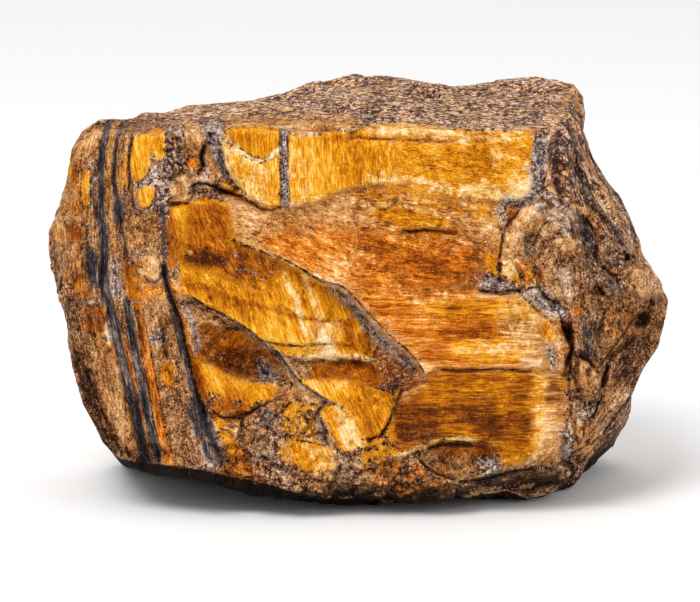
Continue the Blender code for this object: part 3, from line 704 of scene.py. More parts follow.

# %% [markdown]
# ## Draw the finishes
# On the real stone most colours are a mineral: gold and amber are the fibres, orange is rust
# between them, cream is fibre bleached or bruised, tan is chalky quartz, and the grey-blue
# seams are iron ore. Slate is the same ore where it is almost pure and black, brown is clay
# and rust in one, and a gap is painted shade: the black inside a crack, the shadow line under
# a ledge and the dark underside. A few cream and tan strokes are painted highlights on lit
# rims and lips. Each finish gets its own drawing of areas and strokes. Every point of the mesh
# then keeps how deep it lies inside each finish, in squares, and the material makes the edge
# from that. A depth can be read finely between two points, so the edge stays crisp where a
# painted colour would blur.

# %% Areas of each finish
# An area is how deep it may count, in squares, and its outline. One that may count 8 or more
# is a chip with a clear edge. A thinner one fades into its neighbours, and one near 0 or
# below lets the finish beneath show through in spots.
AREAS = {
    "tan": (
        (20, ((173, 183), (178, 176), (186, 174), (193, 180), (190, 190), (188, 198),
              (186, 203), (173, 202), (170, 194))),
        (3, ((183, 130), (190, 123), (198, 126), (203, 135), (202, 145), (198, 152),
             (192, 156), (186, 150), (181, 141))),
        (3, ((205, 151), (211, 144), (218, 151), (222, 172), (217, 181), (211, 172),
             (205, 165))),
        (4, ((226, 120), (250, 119), (300, 118), (345, 118), (358, 126), (340, 130),
             (322, 133), (305, 136), (288, 131), (270, 126), (250, 124), (232, 126))),
        (12, ((228, 196), (250, 203), (285, 201), (325, 192), (345, 182), (385, 174),
              (430, 184), (465, 192), (498, 197), (501, 225), (498, 262), (484, 276),
              (488, 288), (540, 294), (566, 324), (568, 372), (566, 446), (552, 456),
              (520, 462), (500, 449), (478, 441), (440, 440), (396, 448), (384, 420),
              (400, 385), (380, 350), (366, 330), (330, 294), (280, 272), (240, 266),
              (222, 250), (226, 225))),
        (4, ((520, 206), (532, 201), (545, 204), (560, 208), (578, 214), (574, 220),
             (546, 221), (538, 228), (532, 240), (522, 236), (512, 232), (514, 216))),
        (6, ((503, 232), (513, 226), (524, 236), (522, 258), (510, 264), (501, 256))),
        (3, ((514, 302), (538, 300), (545, 318), (540, 350), (545, 366), (520, 366),
             (512, 340))),
        (4, ((534, 372), (548, 370), (564, 375), (566, 400), (566, 440), (560, 456),
             (545, 450), (534, 440))),
        (1, ((455, 225), (480, 225), (500, 232), (496, 250), (478, 256), (462, 244))),
        (9, ((135, 261), (142, 258), (149, 253), (155, 258), (160, 265), (160, 276),
             (155, 281), (148, 280), (144, 274), (137, 273))),
        # The lip below the lower panel: tan, with painted highlight.
        (8, ((500, 452), (530, 448), (562, 440), (565, 460), (545, 464), (524, 467),
             (503, 471), (496, 462))),
        (2, ((76, 150), (84, 134), (98, 125), (104, 129), (98, 143), (88, 152), (80, 158))),
        (3, ((50, 224), (57, 217), (64, 224), (66, 238), (62, 248), (54, 242))),
        (4, ((72, 240), (79, 242), (82, 258), (82, 274), (75, 272), (71, 256))),
        (3, ((78, 211), (92, 209), (88, 217), (77, 222), (70, 218))),
        (-1, ((104, 366), (119, 370), (128, 395), (135, 425), (138, 452), (127, 456),
              (112, 430), (102, 400))),
        (0, ((130, 220), (150, 220), (150, 246), (136, 254), (129, 250))),
        (2, ((184, 302), (200, 308), (216, 316), (212, 320), (196, 316), (186, 312))),
        (1, ((558, 272), (570, 268), (574, 300), (570, 312), (560, 296))),
        (2, ((560, 240), (574, 240), (578, 252), (566, 256))),
        (1, ((275, 385), (298, 388), (318, 400), (300, 404), (275, 410), (266, 402))),
        (-1, ((222, 428), (250, 420), (266, 440), (262, 478), (240, 480), (226, 455))),
        (-1, ((150, 325), (168, 322), (180, 350), (176, 362), (158, 355))),
        (0, ((553, 325), (562, 336), (568, 350), (564, 366), (556, 352), (550, 338))),
        (1, ((544, 340), (556, 338), (560, 352), (548, 356))),
        (0, ((634, 270), (646, 274), (656, 290), (644, 296), (636, 284))),
        (-1, ((600, 330), (622, 328), (618, 352), (602, 356))),
        (0, ((580, 362), (590, 364), (596, 378), (590, 384), (582, 376))),
        (0, ((584, 424), (594, 420), (598, 436), (590, 456), (582, 448))),
        (-1, ((350, 455), (400, 445), (396, 475), (350, 490), (300, 492), (300, 475))),
    ),
    "orange": (
        (4, ((262, 240), (285, 232), (320, 228), (350, 232), (385, 232), (430, 236),
             (470, 248), (484, 262), (470, 275), (455, 285), (480, 296), (505, 298),
             (500, 318), (512, 340), (520, 366), (430, 370), (412, 352), (396, 336),
             (380, 322), (366, 306), (356, 292), (340, 282), (322, 279), (305, 270),
             (285, 258), (265, 250))),
        (8, ((187, 160), (197, 157), (200, 166), (195, 171), (189, 168))),
        (3, ((500, 207), (513, 206), (515, 214), (507, 221), (501, 216))),
        (2, ((134, 283), (160, 285), (168, 297), (150, 299), (136, 298))),
        (8, ((172, 286), (179, 283), (186, 289), (188, 297), (181, 297), (174, 294))),
        (2, ((182, 312), (192, 316), (197, 340), (196, 358), (188, 358), (183, 336))),
        (1, ((166, 284), (180, 280), (184, 294), (172, 296))),
        (2, ((228, 455), (244, 450), (252, 470), (240, 478), (226, 475))),
        (1, ((440, 440), (480, 443), (494, 452), (470, 458), (440, 455))),
        (-2, ((608, 310), (628, 306), (630, 328), (612, 334))),
        (1, ((514, 262), (528, 262), (538, 276), (530, 286), (520, 280))),
        (0, ((480, 250), (498, 248), (498, 262), (484, 266))),
        (-1, ((400, 466), (440, 476), (450, 490), (410, 494), (380, 482))),
    ),
    "gold": (
        (20, ((133, 140), (140, 134), (150, 132), (152, 141), (150, 158), (150, 167),
              (147, 174), (143, 178), (136, 181), (131, 178), (130, 165), (131, 150))),
        (20, ((151, 131), (157, 127), (163, 130), (166, 136), (165, 145), (166, 155),
              (161, 161), (156, 158), (151, 150))),
        (20, ((135, 190), (141, 186), (155, 186), (154, 197), (152, 205), (142, 210),
              (138, 205), (134, 199))),
        (20, ((222, 132), (235, 127), (250, 125), (265, 126), (280, 129), (280, 141),
              (275, 150), (263, 159), (253, 157), (243, 150), (233, 142), (226, 137))),
        (20, ((223, 142), (230, 146), (240, 154), (250, 160), (262, 163), (272, 160),
              (280, 152), (280, 206), (270, 208), (258, 203), (248, 195), (240, 187),
              (230, 176), (226, 165), (223, 152))),
        (30, ((288, 133), (300, 137), (310, 138), (322, 134), (340, 131), (352, 134),
              (365, 127), (400, 122), (425, 124), (445, 128), (480, 131), (535, 130),
              (534, 150), (531, 165), (531, 188), (522, 198), (504, 197), (480, 198),
              (462, 200), (440, 196), (420, 188), (400, 181), (385, 180), (360, 184),
              (345, 188), (335, 193), (325, 199), (305, 203), (289, 202))),
        (3, ((170, 205), (188, 204), (189, 222), (187, 240), (186, 255), (181, 262),
             (176, 240), (171, 222))),
        (30, ((172, 205), (205, 198), (226, 203), (234, 222), (234, 238), (250, 248),
              (275, 260), (298, 268), (308, 276), (322, 283),
              (340, 292), (348, 303), (356, 315), (368, 332), (376, 346), (374, 356),
              (350, 357), (330, 357), (305, 356), (290, 356), (275, 349), (262, 341),
              (252, 332), (238, 322), (222, 313), (205, 306), (190, 297), (182, 288))),
        (12, ((296, 380), (320, 379), (345, 380), (365, 385), (385, 391), (396, 397),
              (394, 410), (388, 425), (380, 437), (365, 438), (355, 436), (350, 424),
              (342, 408), (330, 402), (316, 393), (304, 386))),
        (20, ((328, 403), (342, 408), (350, 420), (358, 435), (362, 445), (352, 452),
              (340, 450), (332, 440), (325, 425), (319, 412))),
        (3, ((283, 440), (300, 437), (320, 440), (330, 450), (338, 465), (330, 472),
             (310, 472), (298, 468), (285, 462), (278, 450))),
        (7, ((190, 360), (205, 361), (225, 370), (240, 378), (255, 382), (268, 381),
              (280, 386), (272, 397), (262, 403), (250, 406), (235, 402), (222, 396),
              (212, 394), (203, 400), (196, 385), (191, 372))),
        (2, ((375, 205), (400, 203), (420, 206), (440, 212), (452, 220), (448, 229),
             (430, 230), (405, 229), (385, 224), (372, 214))),
        (0, ((350, 184), (390, 178), (440, 188), (500, 194), (500, 222), (440, 210),
             (375, 200), (352, 200))),
        (6, ((430, 372), (470, 371), (500, 371), (545, 372), (548, 400), (542, 440),
              (524, 462), (505, 466), (498, 446), (480, 438), (450, 437), (425, 432),
              (405, 430), (395, 440), (388, 432), (395, 412), (410, 398), (425, 390))),
        (0, ((362, 445), (380, 440), (397, 440), (402, 452), (390, 465), (378, 475),
             (366, 470))),
        (1, ((482, 254), (492, 252), (499, 264), (496, 274), (488, 270))),
        (4, ((500, 264), (508, 261), (517, 272), (522, 284), (512, 282), (503, 276))),
        (1, ((524, 264), (536, 272), (534, 280), (526, 276))),
        (3, ((541, 322), (549, 322), (552, 336), (546, 345), (541, 336))),
        (2, ((500, 300), (530, 303), (536, 316), (520, 322), (480, 320), (440, 316),
             (420, 305), (450, 300))),
        (3, ((450, 340), (480, 338), (520, 340), (530, 350), (515, 360), (470, 360),
             (450, 356))),
        (2, ((222, 182), (232, 186), (244, 195), (252, 202), (240, 198), (226, 192))),
        (1, ((214, 418), (226, 420), (234, 440), (240, 452), (230, 456), (222, 440))),
        (4, ((160, 365), (173, 364), (176, 378), (171, 388), (162, 384))),
        (8, ((82, 173), (88, 170), (90, 184), (89, 204), (84, 208), (81, 192))),
        (1, ((255, 278), (270, 262), (285, 262), (284, 272), (272, 286), (260, 290))),
        (0, ((285, 405), (315, 405), (322, 430), (310, 440), (285, 432))),
        (-2, ((222, 405), (262, 405), (285, 425), (270, 450), (235, 445))),
        (-1, ((565, 388), (535, 380), (548, 376), (562, 380))),
    ),
    "amber": (
        (5, ((188, 204), (205, 200), (222, 205), (234, 222), (232, 238), (222, 250),
             (205, 247), (190, 247), (183, 254), (188, 235))),
        (1, ((232, 240), (248, 248), (262, 256), (280, 262), (272, 274), (255, 287),
             (240, 279), (222, 271), (215, 262), (224, 250))),
        (9, ((181, 252), (190, 247), (205, 246), (216, 250), (228, 257), (222, 265),
             (208, 268), (193, 263), (184, 259))),
        (0, ((342, 300), (352, 312), (364, 330), (370, 345), (358, 347), (348, 340),
             (344, 318))),
        (2, ((316, 360), (330, 359), (365, 360), (380, 366), (384, 386), (365, 385),
             (345, 381), (320, 380), (308, 378))),
        (1, ((200, 322), (225, 328), (245, 338), (258, 346), (270, 356), (278, 364),
             (258, 362), (262, 378), (242, 378), (222, 369), (205, 361), (196, 357),
             (200, 340))),
        (1, ((446, 448), (457, 448), (456, 456), (446, 457))),
        (2, ((478, 447), (500, 448), (500, 457), (482, 456))),
        (0, ((455, 276), (470, 270), (484, 282), (480, 294), (462, 290))),
        (1, ((372, 350), (395, 352), (412, 364), (418, 378), (400, 388), (384, 376))),
        (0, ((402, 430), (440, 436), (480, 440), (490, 440), (440, 440), (420, 444),
             (404, 450), (396, 444))),
        (0, ((395, 410), (430, 404), (470, 410), (530, 415), (530, 425), (470, 430),
             (420, 428), (395, 432))),
        (2, ((190, 362), (200, 364), (208, 385), (208, 402), (200, 400), (193, 380))),
        (1, ((425, 228), (455, 228), (470, 234), (455, 238), (425, 236), (400, 234))),
        (2, ((168, 205), (174, 222), (178, 245), (178, 262), (168, 268), (164, 240))),
        (3, ((121, 262), (134, 262), (137, 284), (134, 300), (128, 298), (122, 284))),
        (0, ((70, 150), (80, 153), (79, 212), (70, 212), (69, 185))),
        (8, ((67, 224), (74, 226), (80, 222), (83, 232), (80, 240), (70, 240))),
        (1, ((69, 276), (84, 277), (88, 294), (73, 296))),
        (3, ((122, 338), (129, 348), (134, 368), (138, 390), (140, 408), (136, 402),
             (131, 382), (125, 360))),
        (0, ((100, 345), (114, 345), (120, 362), (111, 367), (101, 362))),
        (1, ((84, 307), (103, 307), (106, 328), (98, 336), (84, 330))),
        (2, ((205, 404), (222, 398), (240, 404), (255, 408), (240, 416), (215, 412))),
        (1, ((560, 320), (572, 322), (574, 340), (566, 344))),
        (-1, ((572, 284), (580, 286), (582, 320), (580, 345), (573, 345), (571, 315))),
        (-2, ((572, 362), (580, 362), (582, 380), (574, 384))),
        (-1, ((360, 374), (380, 374), (384, 386), (364, 382))),
    ),
    "cream": (
        (4, ((462, 185), (480, 182), (500, 186), (500, 196), (480, 199), (463, 198))),
        (1, ((507, 180), (531, 180), (531, 190), (522, 198), (512, 196), (508, 188))),
        (1, ((370, 130), (400, 126), (430, 128), (460, 133), (500, 135), (520, 134),
             (500, 139), (460, 139), (430, 136), (400, 134))),
        (-2, ((289, 140), (300, 140), (306, 160), (306, 200), (292, 201), (288, 170))),
        (-1, ((226, 150), (245, 162), (265, 170), (262, 200), (248, 194), (232, 178))),
        (1, ((320, 322), (333, 322), (337, 357), (322, 358), (316, 340))),
        (1, ((336, 404), (344, 410), (354, 432), (358, 446), (348, 446), (340, 430))),
        (-1, ((308, 440), (320, 442), (332, 468), (318, 470))),
        (1, ((503, 264), (510, 262), (514, 272), (507, 277))),
        (-1, ((505, 308), (530, 306), (538, 318), (532, 350), (520, 350), (514, 324))),
        (-1, ((536, 378), (545, 378), (545, 436), (536, 436))),
        (-2, ((400, 288), (440, 290), (446, 298), (410, 300))),
        (-2, ((330, 258), (352, 250), (372, 255), (362, 272), (340, 276))),
        (-2, ((490, 150), (528, 146), (528, 170), (500, 172))),
        (-3, ((400, 150), (470, 146), (500, 160), (460, 182), (410, 176))),
        (-2, ((93, 338), (101, 338), (102, 355), (97, 358), (92, 350))),
        (-1, ((538, 434), (548, 436), (546, 444), (538, 442))),
    ),
    "seam": (
        (8, ((202, 120), (222, 121), (222, 136), (218, 144), (223, 154), (225, 166),
             (229, 179), (224, 181), (219, 168), (213, 156), (211, 148), (206, 140),
             (203, 130))),
        (4, ((167, 126), (171, 140), (171, 160), (169, 175), (165, 183), (159, 175),
             (161, 163), (167, 157), (168, 145))),
        (3, ((149, 168), (158, 167), (159, 178), (155, 185), (145, 184), (149, 176))),
        (3, ((157, 186), (164, 183), (168, 200), (165, 216), (159, 206))),
        (5, ((534, 136), (548, 134), (550, 150), (545, 165), (543, 182), (541, 198),
             (530, 204), (520, 207), (502, 204), (505, 196), (520, 201), (531, 196),
             (532, 180), (531, 155))),
        (6, ((497, 203), (508, 203), (505, 214), (508, 222), (501, 222), (496, 212))),
        (1, ((482, 275), (495, 278), (510, 285), (521, 291), (505, 293), (485, 293),
             (478, 286))),
        (6, ((521, 291), (533, 287), (543, 288), (548, 296), (560, 302), (568, 310),
             (563, 320), (554, 320), (545, 314), (536, 306), (528, 299))),
        (3, ((545, 342), (551, 346), (556, 356), (558, 368), (552, 368), (546, 356))),
        (5, ((256, 361), (262, 359), (272, 370), (281, 382), (260, 381))),
        (2, ((562, 430), (568, 424), (574, 440), (572, 458), (562, 462), (558, 448))),
        (1, ((480, 461), (492, 457), (501, 464), (498, 475), (484, 474))),
        (2, ((325, 284), (338, 287), (348, 294), (356, 304), (366, 316), (379, 330),
             (392, 342), (405, 354), (417, 367), (422, 376), (410, 372), (398, 360),
             (384, 348), (372, 338), (362, 326), (352, 312), (342, 300), (332, 291))),
        (-1, ((378, 347), (395, 350), (410, 362), (416, 376), (400, 384), (386, 372))),
        (1, ((181, 298), (190, 304), (197, 325), (200, 348), (195, 350), (189, 324))),
        (-2, ((232, 242), (262, 254), (282, 264), (272, 276), (246, 280), (226, 268))),
        (4, ((191, 398), (204, 404), (215, 436), (226, 462), (208, 468), (198, 440),
             (188, 418))),
        (-1, ((255, 438), (284, 440), (290, 470), (262, 478), (252, 458))),
        (1, ((262, 412), (272, 414), (272, 424), (262, 424))),
        (-2, ((62, 285), (76, 290), (82, 345), (72, 350), (62, 320))),
        (-1, ((335, 452), (352, 455), (362, 485), (345, 488), (338, 470))),
        (0, ((576, 402), (598, 402), (596, 420), (580, 420))),
        (-1, ((318, 412), (326, 424), (334, 446), (326, 446), (316, 426))),
        (2, ((108, 262), (118, 260), (122, 284), (122, 300), (112, 300), (109, 285))),
        (-2, ((84, 213), (98, 213), (99, 240), (90, 242), (84, 226))),
        (-1, ((90, 166), (98, 160), (98, 200), (92, 202))),
        (9, ((107.5, 324), (111, 322), (113, 341), (109, 342))),
        (-2, ((146, 302), (170, 300), (178, 330), (181, 358), (170, 360), (150, 352))),
        (1, ((148, 333), (164, 331), (167, 340), (150, 343))),
        (-1, ((600, 232), (612, 240), (626, 262), (616, 266), (604, 250))),
        (1, ((580, 216), (588, 222), (596, 240), (590, 250), (582, 240))),
        (0, ((536, 196), (552, 196), (566, 204), (582, 216), (578, 234), (566, 232),
             (556, 222), (546, 216), (538, 208))),
        (-1, ((592, 225), (606, 240), (622, 262), (620, 285), (606, 292), (596, 290),
              (586, 276), (588, 250))),
        (-2, ((548, 222), (576, 222), (578, 256), (560, 266), (546, 256))),
        (-1, ((580, 318), (598, 316), (602, 356), (582, 358))),
        (0, ((562, 268), (571, 268), (575, 292), (566, 300), (560, 284))),
    ),
    "slate": (
        (1, ((190, 396), (203, 402), (214, 434), (222, 456), (210, 462), (198, 438),
             (189, 418))),
        (0, ((262, 410), (272, 412), (273, 425), (262, 427))),
        (-1, ((252, 440), (264, 436), (270, 462), (256, 474))),
        (-1, ((330, 455), (348, 458), (358, 482), (340, 484))),
        (0, ((312, 412), (320, 414), (330, 444), (322, 446))),
        (-1, ((344, 292), (356, 296), (374, 322), (400, 346), (420, 368), (408, 370),
              (384, 346), (362, 324))),
        (-1, ((184, 300), (192, 304), (200, 348), (194, 350))),
        (-1, ((68, 350), (80, 359), (96, 397), (111, 431), (119, 448), (108, 456), (82, 412))),
        (-2, ((644, 300), (664, 298), (670, 310), (660, 345), (640, 366))),
        (-2, ((92, 224), (104, 222), (112, 250), (112, 300), (104, 300), (96, 262))),
        (2, ((112, 198), (123, 194), (126, 212), (123, 222), (114, 222))),
        (1, ((86, 244), (95, 252), (100, 268), (101, 290), (92, 290), (86, 266))),
        (-1, ((152, 206), (160, 204), (162, 228), (160, 258), (153, 258), (150, 232))),
        (0, ((580, 217), (587, 220), (591, 234), (586, 240), (580, 232))),
        (0, ((608, 274), (616, 274), (620, 294), (610, 298))),
        (0, ((584, 324), (595, 322), (596, 354), (585, 356))),
        (0, ((525, 232), (535, 234), (534, 256), (526, 258))),
    ),
    "gap": (
        # The dark band along the stone's underside: painted shade.
        (9, ((112, 456), (130, 461), (166, 465), (200, 470), (215, 473), (242, 479), (262, 483),
             (284, 489), (300, 495), (318, 499), (340, 498), (380, 500), (380, 520), (100, 520),
             (90, 470))),
        (-1, ((428, 500), (446, 490), (458, 484), (486, 480), (514, 477), (514, 492),
             (540, 485), (548, 484), (530, 492), (500, 500), (470, 504), (440, 504))),
        (4, ((566, 330), (571, 322), (574, 338), (568, 344))),
    ),
    "brown": (
        (9, ((198, 318), (225, 324), (248, 334), (272, 352), (284, 372), (270, 384), (242, 382),
             (222, 372), (194, 360))),
        (9, ((286, 356), (330, 358), (370, 358), (386, 370), (384, 388), (345, 383), (296, 384))),
        (9, ((421, 456), (428, 448), (440, 444), (476, 445), (482, 452), (480, 462),
             (484, 474), (470, 480), (455, 479), (436, 473), (425, 465))),
        (1, ((536, 256), (548, 222), (578, 212), (600, 235), (625, 262), (640, 275), (648, 298),
             (630, 322), (612, 345), (598, 366), (590, 400), (578, 440), (568, 450),
             (568, 400), (572, 345), (560, 300))),
        (5, ((640, 300), (660, 294), (672, 300), (664, 350), (642, 376), (616, 400), (592, 440),
             (590, 420), (603, 388), (612, 366), (630, 344))),
        (7, ((60, 180), (66, 150), (90, 132), (130, 126), (131, 180), (160, 204), (166, 262),
             (170, 290), (184, 330), (196, 372), (206, 410), (220, 462), (150, 466),
             (118, 452), (92, 400), (70, 350), (58, 280), (52, 230))),
    ),
}

